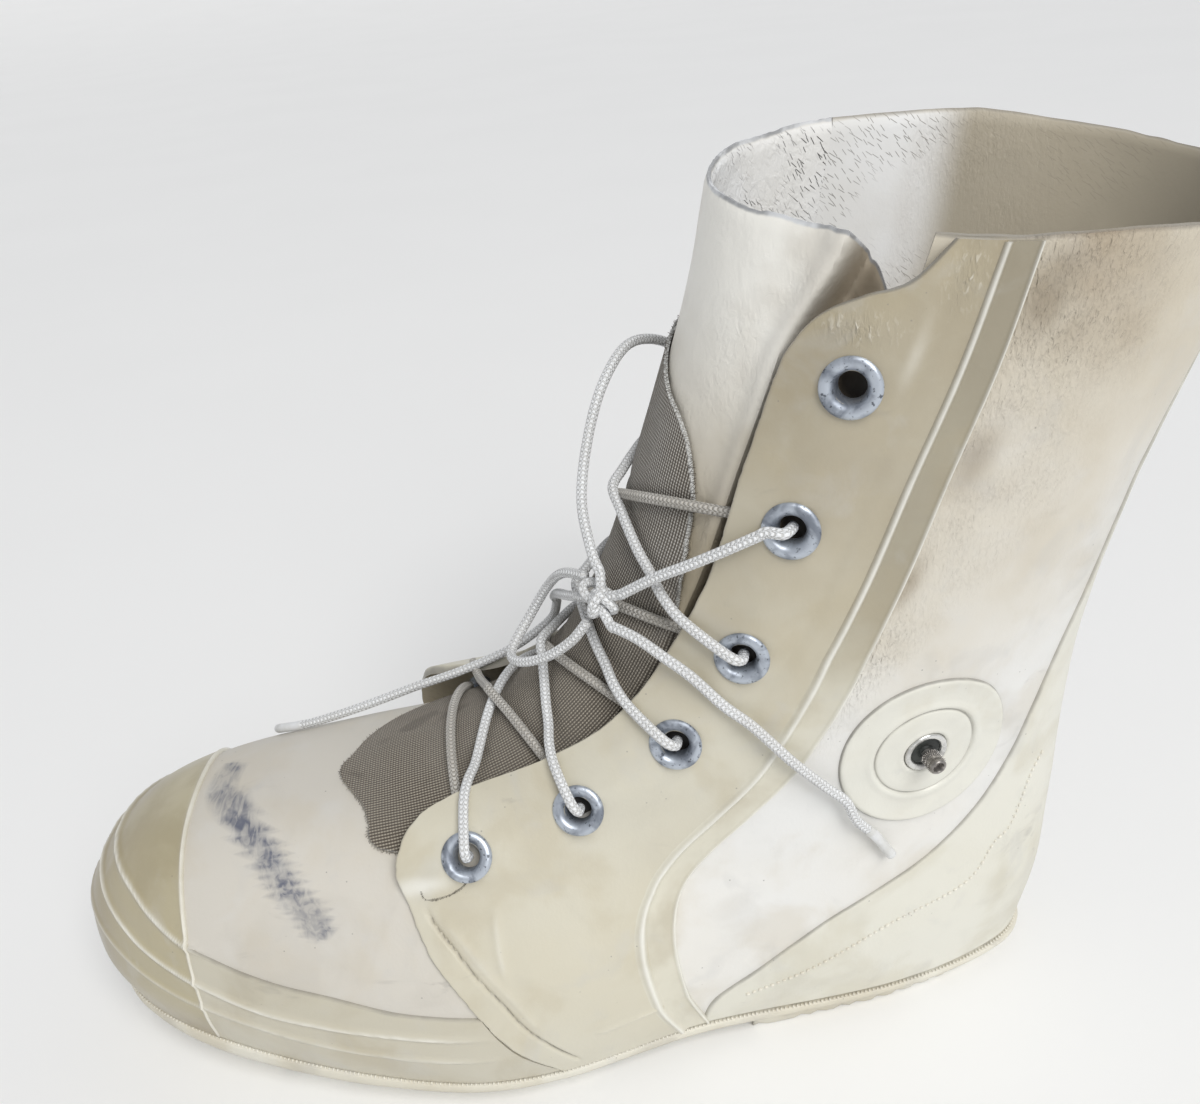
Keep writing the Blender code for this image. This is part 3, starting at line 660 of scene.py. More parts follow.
@dataclass
class Panel:
    """A sheet of rubber or cloth laid on the form, with rounded edges.

    Attributes:
        name: the piece's name.
        outline: v, first turn and last turn of each row.
        under: how far its inner side stands off the form.
        over: how far its outer side does, away from the edges.
        lines: mould lines that cross it.
        edge: radius of its rounded edges.
        step: spacing of its rows and columns.
        ragged: how uneven its cut edges are.
        ends: whether its first and last row are rounded too.
        bare: an edge that isn't rounded, since it lies under or runs into its neighbour.
        pucker: how puckered its surface is.
        worn: how pale its surface is besides on its mould lines, from rubbing and from painted highlights.
        cloth: whether it is woven, so that its UV map follows the threads.
    """

    name: str
    outline: Outline
    under: Depth
    over: Depth
    lines: Sequence[MouldLine] = ()
    edge: float = 1.0
    step: float = 1.7
    ragged: float = 0.0
    ends: tuple[bool, bool] = (False, False)
    bare: str = ""
    pucker: Depth | None = None
    worn: Depth | None = None
    cloth: bool = False

    def rows(self) -> tuple[Array, Array, Array]:
        """v, first turn and last turn of every row, down the smooth outline and cut off at the collar."""
        table = smooth_rows(self.outline, 60 * len(self.outline))
        inside = table[:, 0] <= COLLAR_V + 1e-6
        last = len(inside) if inside.all() else int(np.argmin(inside))
        table = table[:last]
        table[-1, 0] = min(table[-1, 0], COLLAR_V)
        run = sum(run_along(FORM.at(table[:, 0], table[:, k])) for k in (1, 2)) / 2
        wanted = self.spaced(run[-1])
        return tuple(np.interp(wanted, run, table[:, k]) for k in range(3))

    def spaced(self, length: float) -> Array:
        """Places along a length: close together where an end is rounded, and even between."""
        close = ROUNDING * self.edge
        start = close if self.ends[0] else np.zeros(1)
        stop = length - (close[::-1] if self.ends[1] else np.zeros(1))
        middle = np.linspace(start[-1], stop[0], max(3, int((stop[0] - start[-1]) / self.step) + 1))
        return np.concatenate([start[:-1], middle, stop[1:]])

    def grid(self) -> tuple[Array, Array, Array]:
        """v, turn and distance from the nearest free edge, for each point of the panel."""
        v, first, last = (column[:, None] for column in self.rows())
        part = np.linspace(0, 1, 40)
        track = FORM.at(v, first * (1 - part) + last * part)
        width = np.linalg.norm(np.diff(track, axis=1), axis=2).sum(1)[:, None]
        left = ROUNDING * self.edge * np.minimum(1.0, width / (5 * self.edge))
        count = max(4, int(width.max() / self.step))
        middle = left[:, -1:] + (width - 2 * left[:, -1:]) * np.linspace(0, 1, count)[1:-1]
        across = np.concatenate([left, middle, width - left[:, ::-1]], 1)
        turn = first + (last - first) * across / width
        far = width - across
        distance = np.minimum(across + FAR * (self.bare == "first"), far + FAR * (self.bare == "last"))
        down = run_along(track[:, 20])[:, None]
        if self.ends[0]:
            distance = np.minimum(distance, down)
        if self.ends[1]:
            distance = np.minimum(distance, down[-1] - down)
        if self.ragged:
            places = FORM.at(v, turn)
            rough = lumps(places, 2.2, 3.0) + 0.6 * lumps(places, 0.9, 4.0)
            outward = np.sign(across / width - 0.5)
            turn = turn + self.ragged * rough * np.exp(-distance / 1.5) * outward
        return np.broadcast_to(v, turn.shape), turn, distance

    def build(self) -> bpy.types.Object:
        """The panel as a closed mesh, marked with the grime that gathers at its edges."""
        v, turn, distance = self.grid()
        places = FORM.at(v, turn)
        bump = relief(places, self.lines)
        low, high = self.under(v, turn), self.over(v, turn)
        outer = FORM.skin(v, turn, low + (high - low) * rounded(distance, self.edge) + bump)
        inner = FORM.skin(v, turn, low + np.minimum(bump, 0) - 0.02)
        # grime at the free edges, and painted shade in the grooves
        grime = np.maximum(np.exp(-distance / 0.9), 0.9 * ridges(places, self.lines, Lie.GROOVE))
        # pale crests and patches: rubbing, and painted highlights
        worn = ridges(places, self.lines) + (self.worn(v, turn) if self.worn else 0)
        marks = {"grime": (grime, grime), "inside": within(np.ones_like(grime)), "worn": outside(worn)}
        if self.pucker:
            marks["pucker"] = outside(self.pucker(v, turn))
        if self.cloth:
            # painted shade under the eyelet holes
            marks["hollow"] = outside(np.maximum(shade_under_holes(places, 1), shade_under_holes(places, -1)))
        return plate(self.name, outer, inner, marks=marks, uv=(woven if self.cloth else flat)(v, turn))


# ---- shader building


def add_node(tree: bpy.types.NodeTree, kind: str, values: Values, **settings: object) -> bpy.types.Node:
    """Adds a node to any tree.

    Args:
        tree: where it goes.
        kind: the node's type.
        values: a value or a socket for each of its inputs, by name or number.
        settings: its own properties, which are set first.

    Returns:
        The node.
    """
    made = tree.nodes.new(kind)
    for key, value in settings.items():
        setattr(made, key, value)
    for key, value in values.items():
        if isinstance(value, bpy.types.NodeSocket):
            tree.links.new(value, made.inputs[key])
        else:
            made.inputs[key].default_value = value
    return made


def toned(colour: Colour, *shares: float) -> Colour:
    """A colour darkened by one share, or by one share for each channel."""
    return tuple(c * k for c, k in zip(colour, shares * (3 // len(shares))))


class Shade:
    """A shader socket that can stand in sums."""

    def __init__(self, tree: Tree, socket: bpy.types.NodeSocket) -> None:
        """Wraps an output socket of a tree."""
        self.tree = tree
        self.socket = socket

    def maths(self, kind: str, *others: Shade | float, first: Shade | float | None = None) -> Shade:
        """One Math node on this value, or on another value and this one."""
        values = [self if first is None else first, *others]
        return self.tree.node("ShaderNodeMath", dict(enumerate(values)), operation=kind)

    def __add__(self, other: Shade | float) -> Shade:
        """Sum."""
        return self.maths("ADD", other)

    __radd__ = __add__

    def __sub__(self, other: Shade | float) -> Shade:
        """Difference."""
        return self.maths("SUBTRACT", other)

    def __rsub__(self, other: float) -> Shade:
        """Difference from a number."""
        return self.maths("SUBTRACT", self, first=other)

    def __mul__(self, other: Shade | float) -> Shade:
        """Product."""
        return self.maths("MULTIPLY", other)

    def __truediv__(self, other: Shade | float) -> Shade:
        """Quotient."""
        return self.maths("DIVIDE", other)

    def sine(self) -> Shade:
        """Sine of the value in radians."""
        return self.maths("SINE")

    def size(self) -> Shade:
        """The value without its sign."""
        return self.maths("ABSOLUTE")

    def most(self, other: Shade | float) -> Shade:
        """The larger of two values."""
        return self.maths("MAXIMUM", other)

    def least(self, other: Shade | float) -> Shade:
        """The smaller of two values."""
        return self.maths("MINIMUM", other)

    def between(self, low: float, high: float) -> Shade:
        """Smooth step: 0 below low and 1 above high, or turned round if low is the larger."""
        values = {"Value": self, "From Min": low, "From Max": high, "To Min": 0.0, "To Max": 1.0}
        return self.tree.node("ShaderNodeMapRange", values, interpolation_type="SMOOTHSTEP", clamp=True)


class Tree:
    """A material's node tree with its Principled shader."""

    def __init__(self, name: str) -> None:
        """Makes an empty material.

        Args:
            name: the material's name.
        """
        self.material = bpy.data.materials.new(name)
        self.material.use_nodes = True
        self.tree = self.material.node_tree
        self.shader = self.tree.nodes["Principled BSDF"]

    def node(self, kind: str, values: Values, out: int | str = 0, **settings: object) -> Shade:
        """Adds any node.

        Args:
            kind: the node's type.
            values: a value or a Shade for each socket, by name or number.
            out: the output that is wanted.
            settings: its own properties.

        Returns:
            That output.
        """
        sockets = {key: value.socket if isinstance(value, Shade) else value for key, value in values.items()}
        return Shade(self, add_node(self.tree, kind, sockets, **settings).outputs[out])

    def place(self) -> Shade:
        """Object coordinates, in metres."""
        return self.node("ShaderNodeTexCoord", {}, "Object")

    def surface(self) -> list[Shade]:
        """The piece's own UV map, in metres across and along."""
        uv = self.node("ShaderNodeTexCoord", {}, "UV")
        return [self.axis(uv, axis) for axis in "XY"]

    def stretched(self, places: Shade, turn: Sequence[float], scale: Sequence[float]) -> Shade:
        """Places turned and scaled for a pattern with a direction."""
        values = {"Vector": places, "Rotation": tuple(turn), "Scale": tuple(scale)}
        return self.node("ShaderNodeMapping", values)

    def noise(self, places: Shade, scale: float, detail: float = 3.0, distortion: float = 0.0) -> Shade:
        """Soft noise about 0.5."""
        values = {"Vector": places, "Scale": scale, "Detail": detail, "Distortion": distortion}
        return self.node("ShaderNodeTexNoise", values)

    def cells(self, places: Shade, scale: float) -> Shade:
        """Distance to the middle of the nearest cell."""
        return self.node("ShaderNodeTexVoronoi", {"Vector": places, "Scale": scale})

    def strokes(self, across: Shade, along: Shade, *kinds: tuple[float, float, float, float]) -> Shade:
        """Short strokes scattered over a flat pattern, from 0 to 1.

        Args:
            across, along: the pattern's coordinates, in metres.
            kinds: how many of each kind there are in a metre, which way they lie in radians, and half their
                length and half their width in metres.
        """
        found = None
        for scale, tilt, half_length, half_width in kinds:
            vector = self.node("ShaderNodeCombineXYZ", {"X": across, "Y": along})
            values = {"Vector": vector, "Scale": scale, "Randomness": 0.95}
            spot, chance = (self.node("ShaderNodeTexVoronoi", values, out, voronoi_dimensions="2D")
                            for out in ("Position", "Color"))
            keep = self.axis(chance, "X").between(0.30, 0.36)
            x, y = across - self.axis(spot, "X"), along - self.axis(spot, "Y")
            c, s = math.cos(tilt), math.sin(tilt)
            length, width = (x * c + y * s).size() / half_length, (y * c - x * s).size() / half_width
            shown = length.between(1.0, 0.5) * width.between(1.0, 0.1) * keep
            found = found.most(shown) if found else shown
        return found

    def mark(self, name: str) -> Shade:
        """A named value that the mesh carries."""
        return self.node("ShaderNodeAttribute", {}, "Fac", attribute_name=name)

    def axis(self, places: Shade, axis: str) -> Shade:
        """One coordinate of some places."""
        return self.node("ShaderNodeSeparateXYZ", {0: places}, axis)

    def mix(self, factor: Shade | float, first: Shade | Colour, second: Shade | Colour) -> Shade:
        """A colour between two colours."""
        sides = [c if isinstance(c, Shade) else (*c, 1.0) for c in (first, second)]
        return self.node("ShaderNodeMix", {0: factor, 6: sides[0], 7: sides[1]}, 2, data_type="RGBA")

    def bump(
        self, height: Shade, distance: float, strength: float = 1.0, under: Shade | None = None,
    ) -> Shade:
        """A bumped normal; distance is what a height of 1 stands for, in metres."""
        values: Values = {"Height": height, "Distance": distance, "Strength": strength}
        if under is not None:
            values["Normal"] = under
        return self.node("ShaderNodeBump", values)

    def set(self, **values: object) -> bpy.types.Material:
        """Sets the shader's sockets, with _ for a space, and returns the material."""
        for key, value in values.items():
            socket = self.shader.inputs[key.replace("_", " ")]
            if isinstance(value, Shade):
                self.tree.links.new(value.socket, socket)
            elif isinstance(value, tuple) and len(value) == 3:
                socket.default_value = (*value, 1.0)
            else:
                socket.default_value = value
        return self.material


# ---- finishes


@dataclass(frozen=True)
class Rubber:
    """Aged pale rubber.

    Attributes:
        name: the material's name.
        base: its colour low on the boot.
        high: its colour up at the collar, where it has yellowed most and where painted shade darkens it as
            less light falls there.
        warm: the yellowed colour that shows in patches.
        soil: the colour of what has rubbed off on it.
        inner: colour of its inner side.
        rough: roughness.
        yellowing: how much of it has yellowed.
        scuffs: how many grey rubs and specks it has.
        seams: how much grime has gathered along its edges.
        coat: glossy top coat.
        front: its colour over the forefoot, if that differs.
        foot: its colour below the ankle, if that differs.
        tip: the colour of painted shade round the front and foot of the toe, which face away from the light,
            if it has any.
        creased: how much darker and browner its puckered places are, as colour and as painted shade in their
            dents.
    """

    name: str
    base: Colour
    high: Colour
    warm: Colour
    soil: Colour = (0.20, 0.19, 0.175)
    inner: Colour = (0.40, 0.355, 0.27)
    rough: float = 0.5
    yellowing: float = 0.45
    scuffs: float = 0.3
    # seams: how dark its edges and grooves are, from grime and from painted shade at gaps and in grooves.
    seams: float = 0.6
    coat: float = 0.0
    front: Colour | None = None
    foot: Colour | None = None
    tip: Colour | None = None
    creased: float = 0.0

    def make(self) -> bpy.types.Material:
        """The material."""
        t = Tree(self.name)
        at = t.place()
        level = t.axis(at, "Z")
        broad = t.noise(at, 14.0, 4.0).between(0.34, 0.68)
        blotch = t.noise(at, 70.0, 5.0, 0.4)
        colour = t.mix(broad * self.yellowing, self.base, self.warm)
        # darker and browner towards the collar: yellowing, and painted shade where less light falls
        colour = t.mix((level + (broad - 0.5) * 0.05).between(0.11, 0.27), colour, self.high)
        if self.front:
            fore = (t.axis(at, "Y") + (broad - 0.5) * 0.03).between(-0.085, -0.135)
            colour = t.mix(fore, colour, self.front)
        # painted shade over the front and foot of the toe
        if self.tip:
            ahead = (t.axis(at, "Y") + (broad - 0.5) * 0.02).between(-0.250, -0.277)
            colour = t.mix(ahead.most(level.between(0.042, 0.024)) * 0.85, colour, self.tip)
        if self.foot:
            colour = t.mix((level + (broad - 0.5) * 0.02).between(0.185, 0.125), colour, self.foot)
        colour = t.mix(blotch.between(0.50, 0.80) * 0.30, colour, toned(self.base, 0.86))
        stain = t.noise(at, 27.0, 6.0, 0.8).between(0.54, 0.72)
        colour = t.mix(stain * self.scuffs * 0.55, colour, (0.36, 0.335, 0.29))
        rub = t.noise(t.stretched(at, (0.3, 0.5, 0.9), (1.0, 0.3, 1.0)), 120.0, 8.0, 1.2)
        where = t.noise(at, 26.0, 2.0).between(0.53, 0.68)
        colour = t.mix(rub.between(0.58, 0.74) * where * self.scuffs, colour, self.soil)
        cloud = t.noise(at, 38.0, 7.0, 0.3)
        colour = t.mix(cloud.between(0.46, 0.66) * 0.35, colour, toned(self.warm, 0.8, 0.76, 0.68))
        colour = t.mix(t.noise(at, 58.0, 6.0, 0.5).between(0.55, 0.72) * 0.22, colour, (0.50, 0.50, 0.49))
        specks = t.cells(at, 260.0).between(0.09, 0.04) * t.noise(at, 60.0, 1.0).between(0.55, 0.62)
        colour = t.mix(specks * 0.6, colour, self.soil)
        # darker at edges and in grooves: grime, and painted shade at gaps and in recesses
        grime = t.mark("grime") * (0.45 + t.noise(at, 130.0, 3.0))
        colour = t.mix(grime.between(0.18, 0.95) * self.seams, colour, self.soil)
        # paler on the worn mark: rubbing, and painted highlights on crests and pads
        rubbed = t.mark("worn") * (0.55 + t.noise(at, 120.0, 3.0) * 0.6)
        colour = t.mix(rubbed.between(0.05, 1.0) * 0.85, colour, (0.80, 0.79, 0.73))
        colour = t.mix(t.mark("inside") * 0.92, colour, self.inside(t, at))
        colour = t.mix(self.smudge(t, at), colour, (0.13, 0.14, 0.18))
        pucker = t.mark("pucker")
        folds = t.noise(t.stretched(at, (0.0, 0.1, 0.0), (1.0, 1.0, 0.42)), 820.0, 2.0, 0.5)
        dents = t.strokes(
            t.axis(at, "Y"), level, (560.0, 1.35, 0.0012, 0.00040), (470.0, 1.1, 0.0014, 0.00044),
        )
        where = t.noise(at, 19.0, 3.0).between(0.42, 0.60)
        if self.creased:
            # puckered places darker and browner: colour, and painted shade in their dents
            where = (where * 0.6 + 0.35) * level.between(0.135, 0.235) * pucker
            colour = t.mix(where * self.creased, colour, toned(self.high, 0.54, 0.46, 0.38))
            stained = t.mark("stain") * (0.55 + t.noise(at, 90.0, 5.0, 0.5) * 0.7)
            colour = t.mix(stained.between(0.06, 1.0) * 0.8, colour, (0.27, 0.22, 0.155))
            # painted shade in the small embossed strokes
            colour = t.mix(dents * pucker * 0.09, colour, toned(self.high, 0.42))
        else:
            # pale specks on the dimples: painted glints
            colour = t.mix(folds.between(0.55, 0.68) * pucker * 0.5, colour, (0.80, 0.77, 0.68))
        bumped = t.bump(t.noise(at, 900.0, 3.0), 0.00005)
        bumped = t.bump(blotch, 0.0003, 0.6, bumped)
        bumped = t.bump(folds * pucker, 0.0009, 1.0, bumped)
        if self.creased:
            bumped = t.bump(1.0 - dents * pucker, 0.00016, 1.0, bumped)
        roughness = self.rough + (blotch - 0.5) * 0.22 + grime * 0.2
        return t.set(
            Base_Color=colour, Roughness=roughness, Normal=bumped, Specular_IOR_Level=0.45,
            Coat_Weight=self.coat, Coat_Roughness=0.22,
        )

    def inside(self, t: Tree, at: Shade) -> Shade:
        """The colour of the inner side, paler and finely nicked beside the throat."""
        y, z = t.axis(at, "Y"), t.axis(at, "Z")
        nicks = t.strokes(y, z, (400.0, -0.95, 0.0015, 0.00017), (330.0, -0.6, 0.0017, 0.00018))
        nicks = nicks * t.noise(at, 30.0, 2.0).between(0.40, 0.54)
        tone = t.noise(at, 26.0, 4.0).between(0.36, 0.64)
        brown = t.mix(tone * 0.5, self.inner, toned(self.inner, 0.78))
        pale = t.mix(tone * 0.4, (0.84, 0.85, 0.86), (0.66, 0.64, 0.60))
        near_throat = t.mark("pale")
        colour = t.mix(near_throat, brown, pale)
        return t.mix(nicks * (near_throat * 0.6 + 0.25), colour, (0.10, 0.09, 0.08))

    def smudge(self, t: Tree, at: Shade) -> Shade:
        """How strongly the rubbed-out ink shows."""
        drawn = t.stretched(at, (0.0, 0.0, 0.5), (0.35, 1.0, 1.0))
        streaks = t.noise(drawn, 330.0, 5.0, 1.0).between(0.40, 0.64)
        clouds = t.noise(at, 105.0, 3.0, 0.5).between(0.36, 0.56)
        return t.mark("smear") * (streaks * 0.5 + 0.5) * (clouds * 0.5 + 0.5)


@dataclass(frozen=True)
class Gusset:
    """Thin rubber sheet, wrinkled outside and cracked inside."""

    name: str = "gusset rubber"
    outer: Colour = (0.87, 0.855, 0.80)
    low: Colour = (0.42, 0.365, 0.265)
    shaded: Colour = (0.34, 0.28, 0.20)
    inner: Colour = (0.86, 0.87, 0.88)
    crack: Colour = (0.10, 0.09, 0.085)

    def make(self) -> bpy.types.Material:
        """The material."""
        t = Tree(self.name)
        at = t.place()
        inside = t.mark("inside")
        level = t.axis(at, "Z")
        broad = t.noise(at, 22.0, 4.0)
        colour = t.mix((level + (broad - 0.5) * 0.09).between(0.262, 0.185), self.outer, self.low)
        colour = t.mix(t.mark("shaded") * 0.85, colour, self.shaded)
        colour = t.mix(broad.between(0.50, 0.68) * 0.35, colour, self.shaded)
        back = t.mix(broad.between(0.42, 0.66) * 0.4, self.inner, (0.70, 0.67, 0.61))
        colour = t.mix(inside, colour, back)
        across, along = t.surface()
        nicks = t.strokes(across, along, (400.0, 0.95, 0.0015, 0.00017), (330.0, 0.6, 0.0017, 0.00018))
        region = t.noise(at, 30.0, 3.0).between(0.40, 0.54)
        colour = t.mix(nicks * region * inside * 0.85, colour, self.crack)
        grime = t.mark("grime") * (0.45 + t.noise(at, 170.0, 4.0))
        rim = t.mix(t.noise(at, 95.0, 3.0).between(0.40, 0.58), (0.62, 0.64, 0.67), (0.27, 0.28, 0.30))
        colour = t.mix(grime.between(0.2, 0.8) * 0.85, colour, rim)
        # painted shade under the eyelet holes
        colour = t.mix(t.mark("hollow"), colour, (0.045, 0.04, 0.035))
        blotch = t.noise(at, 90.0, 5.0, 0.5)
        ripples = t.noise(t.stretched(at, (0.0, 0.0, 0.0), (1.0, 1.0, 0.7)), 420.0, 3.0, 0.9)
        patches = t.noise(at, 34.0, 2.0).between(0.42, 0.62) + inside * 0.5
        bumped = t.bump(ripples * patches, 0.00045, 0.8)
        bumped = t.bump(blotch, 0.0009, 0.6, bumped)
        bumped = t.bump(1.0 - nicks * region * inside, 0.0005, 1.0, bumped)
        rough = 0.50 + (blotch - 0.5) * 0.2
        return t.set(Base_Color=colour, Roughness=rough, Normal=bumped, Specular_IOR_Level=0.4)


@dataclass(frozen=True)
class Twill:
    """Grey-brown woven cloth in a fine square weave, darker and raw at its cut edge."""

    name: str = "tongue cloth"
    light: Colour = (0.44, 0.395, 0.32)
    dark: Colour = (0.085, 0.07, 0.055)
    pitch: float = 0.00096

    def make(self) -> bpy.types.Material:
        """The material."""
        t = Tree(self.name)
        at = t.place()
        across, along = t.surface()
        wander = (t.noise(at, 40.0, 2.0) - 0.5) * 0.0010
        turn = 2 * math.pi / self.pitch
        warp = ((across + wander) * turn).sine() * 0.5 + 0.5
        weft = ((along + wander) * turn).sine() * 0.5 + 0.5
        dots = (weft * 0.6 + 0.4) * warp
        # lighter towards the top: a painted sheen where light falls, which also brightens the frayed edge
        # there
        upper = t.axis(at, "Z").between(0.135, 0.20)
        faded = t.noise(at, 35.0, 4.0).between(0.40, 0.66)
        light = t.mix(upper * (0.45 + faded * 0.4), self.light, (0.66, 0.65, 0.62))
        colour = t.mix(dots.between(0.12, 0.80), self.dark, light)
        colour = t.mix(faded * 0.18, colour, (0.27, 0.25, 0.22))
        # painted shade in soft folds over the lower part
        drawn = t.stretched(at, (0.5, 0.0, 0.0), (1.0, 1.0, 0.25))
        folded = t.noise(drawn, 75.0, 2.0, 0.4).between(0.56, 0.70)
        colour = t.mix(folded * (1.0 - upper) * 0.45, colour, self.dark)
        edge = t.mark("grime") * (0.6 + t.noise(at, 300.0, 4.0))
        colour = t.mix(edge.between(0.35, 0.8) * (0.25 + upper * 0.6), colour, (0.60, 0.61, 0.60))
        # painted shade under the eyelet holes
        colour = t.mix(t.mark("hollow"), colour, (0.045, 0.04, 0.035))
        bumped = t.bump(dots, 0.0004)
        bumped = t.bump(t.noise(at, 1400.0, 2.0), 0.00012, 1.0, bumped)
        return t.set(
            Base_Color=colour, Roughness=0.88, Normal=bumped, Specular_IOR_Level=0.2, Sheen_Weight=0.15,
        )


@dataclass(frozen=True)
class Braid:
    """Round braided lace."""

    name: str = "braided lace"
    light: Colour = (0.84, 0.855, 0.87)
    dark: Colour = (0.55, 0.55, 0.54)
    worn: float = 0.16
    pitch: float = 0.0015

    def make(self) -> bpy.types.Material:
        """The material."""
        t = Tree(self.name)
        at = t.place()
        round_, along = t.surface()
        zigzag = (round_ * (2 * math.pi * 3)).sine()
        slope = (zigzag.size() * 1.9).least(1.4)
        strands = ((along * (2 * math.pi / self.pitch)) + slope * 2.8).sine() * 0.5 + 0.5
        strands = strands * zigzag.size().between(0.0, 0.25).most(0.6)
        fibres = ((round_ * 22.0 + along * 5200.0) * 2.0).sine() * 0.5 + 0.5
        soil = t.noise(at, 55.0, 3.0).between(0.36, 0.70)
        colour = t.mix(strands.between(0.02, 0.45), self.dark, self.light)
        colour = t.mix(soil * self.worn, colour, (0.40, 0.375, 0.33))
        bumped = t.bump(strands, 0.00028)
        bumped = t.bump(fibres, 0.00006, 1.0, bumped)
        return t.set(
            Base_Color=colour, Roughness=0.66, Normal=bumped, Specular_IOR_Level=0.35, Sheen_Weight=0.2,
        )


@dataclass(frozen=True)
class Metal:
    """Cast or plated metal with worn and dull patches."""

    name: str
    bright: Colour
    dull: Colour
    rough: float = 0.32
    pits: float = 0.5

    def make(self) -> bpy.types.Material:
        """The material."""
        t = Tree(self.name)
        at = t.place()
        tarnish = t.noise(at, 170.0, 6.0, 0.6)
        worn = tarnish.between(0.36, 0.60)
        spots = t.noise(at, 800.0, 3.0).between(0.60, 0.70) * self.pits
        colour = t.mix(worn, self.dull, self.bright)
        colour = t.mix(spots, colour, toned(self.dull, 0.5))
        bumped = t.bump(tarnish, 0.0002)
        return t.set(
            Base_Color=colour, Roughness=self.rough + spots * 0.25 + (1.0 - worn) * 0.12, Metallic=0.8,
            Normal=bumped,
        )


@dataclass(frozen=True)
class Moulded:
    """A plain moulded plastic or board."""

    name: str
    base: Colour
    shade: Colour
    rough: float = 0.45

    def make(self) -> bpy.types.Material:
        """The material."""
        t = Tree(self.name)
        at = t.place()
        patches = t.noise(at, 160.0, 4.0)
        colour = t.mix(patches.between(0.35, 0.7), self.base, self.shade)
        return t.set(
            Base_Color=colour, Roughness=self.rough + (patches - 0.5) * 0.2, Normal=t.bump(patches, 0.00012),
        )


@dataclass
class Finishes:
    """Every finish of the boot, made once."""

    made: Made = field(default_factory=dict)

    def build(self) -> Made:
        """Makes them all and returns them by name."""
        cream, ivory, chalk = (0.60, 0.545, 0.40), (0.67, 0.63, 0.53), (0.72, 0.715, 0.65)
        kinds = {
            "shaft": Rubber(
                "shaft rubber", (0.745, 0.745, 0.73), (0.60, 0.55, 0.45), (0.70, 0.665, 0.59),
                front=(0.60, 0.57, 0.51), creased=0.8,
            ),
            "panel": Rubber(
                "panel rubber", (0.605, 0.58, 0.485), (0.36, 0.31, 0.215), (0.56, 0.51, 0.38),
                rough=0.34, seams=0.7, scuffs=0.22, coat=0.25,
            ),
            "strip": Rubber(
                "strip rubber", (0.47, 0.44, 0.345), (0.29, 0.255, 0.185), (0.46, 0.41, 0.30),
                rough=0.34, seams=0.1, scuffs=0.12, coat=0.25, foot=(0.64, 0.615, 0.515),
            ),
            "foxing": Rubber(
                "foxing rubber", (0.56, 0.535, 0.45), cream, (0.50, 0.455, 0.34),
                rough=0.40, scuffs=0.3, coat=0.2,
            ),
            "cap": Rubber(
                "toe cap rubber", (0.48, 0.435, 0.30), cream, (0.35, 0.30, 0.19),
                # tip: painted shade over the front of the toe
                rough=0.34, scuffs=0.25, seams=0.3, coat=0.2, tip=(0.31, 0.262, 0.175),
            ),
            "counter": Rubber(
                "counter rubber", (0.71, 0.70, 0.63), (0.69, 0.68, 0.60), (0.66, 0.64, 0.54),
                rough=0.42, scuffs=0.35,
            ),
            "bead": Rubber(
                "seam bead rubber", (0.76, 0.74, 0.66), ivory, ivory, rough=0.45, scuffs=0.1, seams=0.0,
            ),
            "sole": Rubber("sole rubber", (0.70, 0.68, 0.60), ivory, (0.60, 0.55, 0.43), scuffs=0.6),
            "patch": Rubber(
                "patch rubber", chalk, chalk, (0.70, 0.68, 0.60),
                rough=0.36, scuffs=0.15, seams=0.75, coat=0.2,
            ),
            "crack": Moulded("crack shadow", (0.07, 0.06, 0.05), (0.11, 0.10, 0.085), 0.8),
            "gusset": Gusset(),
            "cloth": Twill(),
            "lace": Braid(),
            "old lace": Braid("soiled braided lace", (0.60, 0.58, 0.54), (0.22, 0.20, 0.17), 0.6),
            "zinc": Metal("zinc eyelet", (0.52, 0.565, 0.63), (0.24, 0.265, 0.31), 0.4, 0.9),
            "nickel": Metal("nickel valve ring", (0.74, 0.74, 0.72), (0.45, 0.44, 0.42), 0.24, 0.25),
            "gunmetal": Metal("gunmetal screw cap", (0.46, 0.44, 0.42), (0.24, 0.225, 0.21), 0.26, 0.15),
            "hub": Moulded("black valve hub", (0.012, 0.014, 0.013), (0.03, 0.035, 0.03), 0.5),
            "tip": Moulded("lace tip", (0.72, 0.73, 0.74), (0.60, 0.60, 0.58), 0.34),
            "liner": Moulded("insole board", (0.42, 0.38, 0.30), (0.30, 0.26, 0.20), 0.85),
        }
        self.made = {name: kind.make() for name, kind in kinds.items()}
        return self.made


# ---- what repeats, by Geometry Nodes


class Bead(Enum):
    """The small shape that is repeated along a path: its node, and the node's sockets."""

    BALL = ("GeometryNodeMeshIcoSphere", {"Radius": 0.5, "Subdivisions": 2})
    HAIR = ("GeometryNodeMeshCylinder", {"Vertices": 4, "Radius": 0.5, "Depth": 1.0})


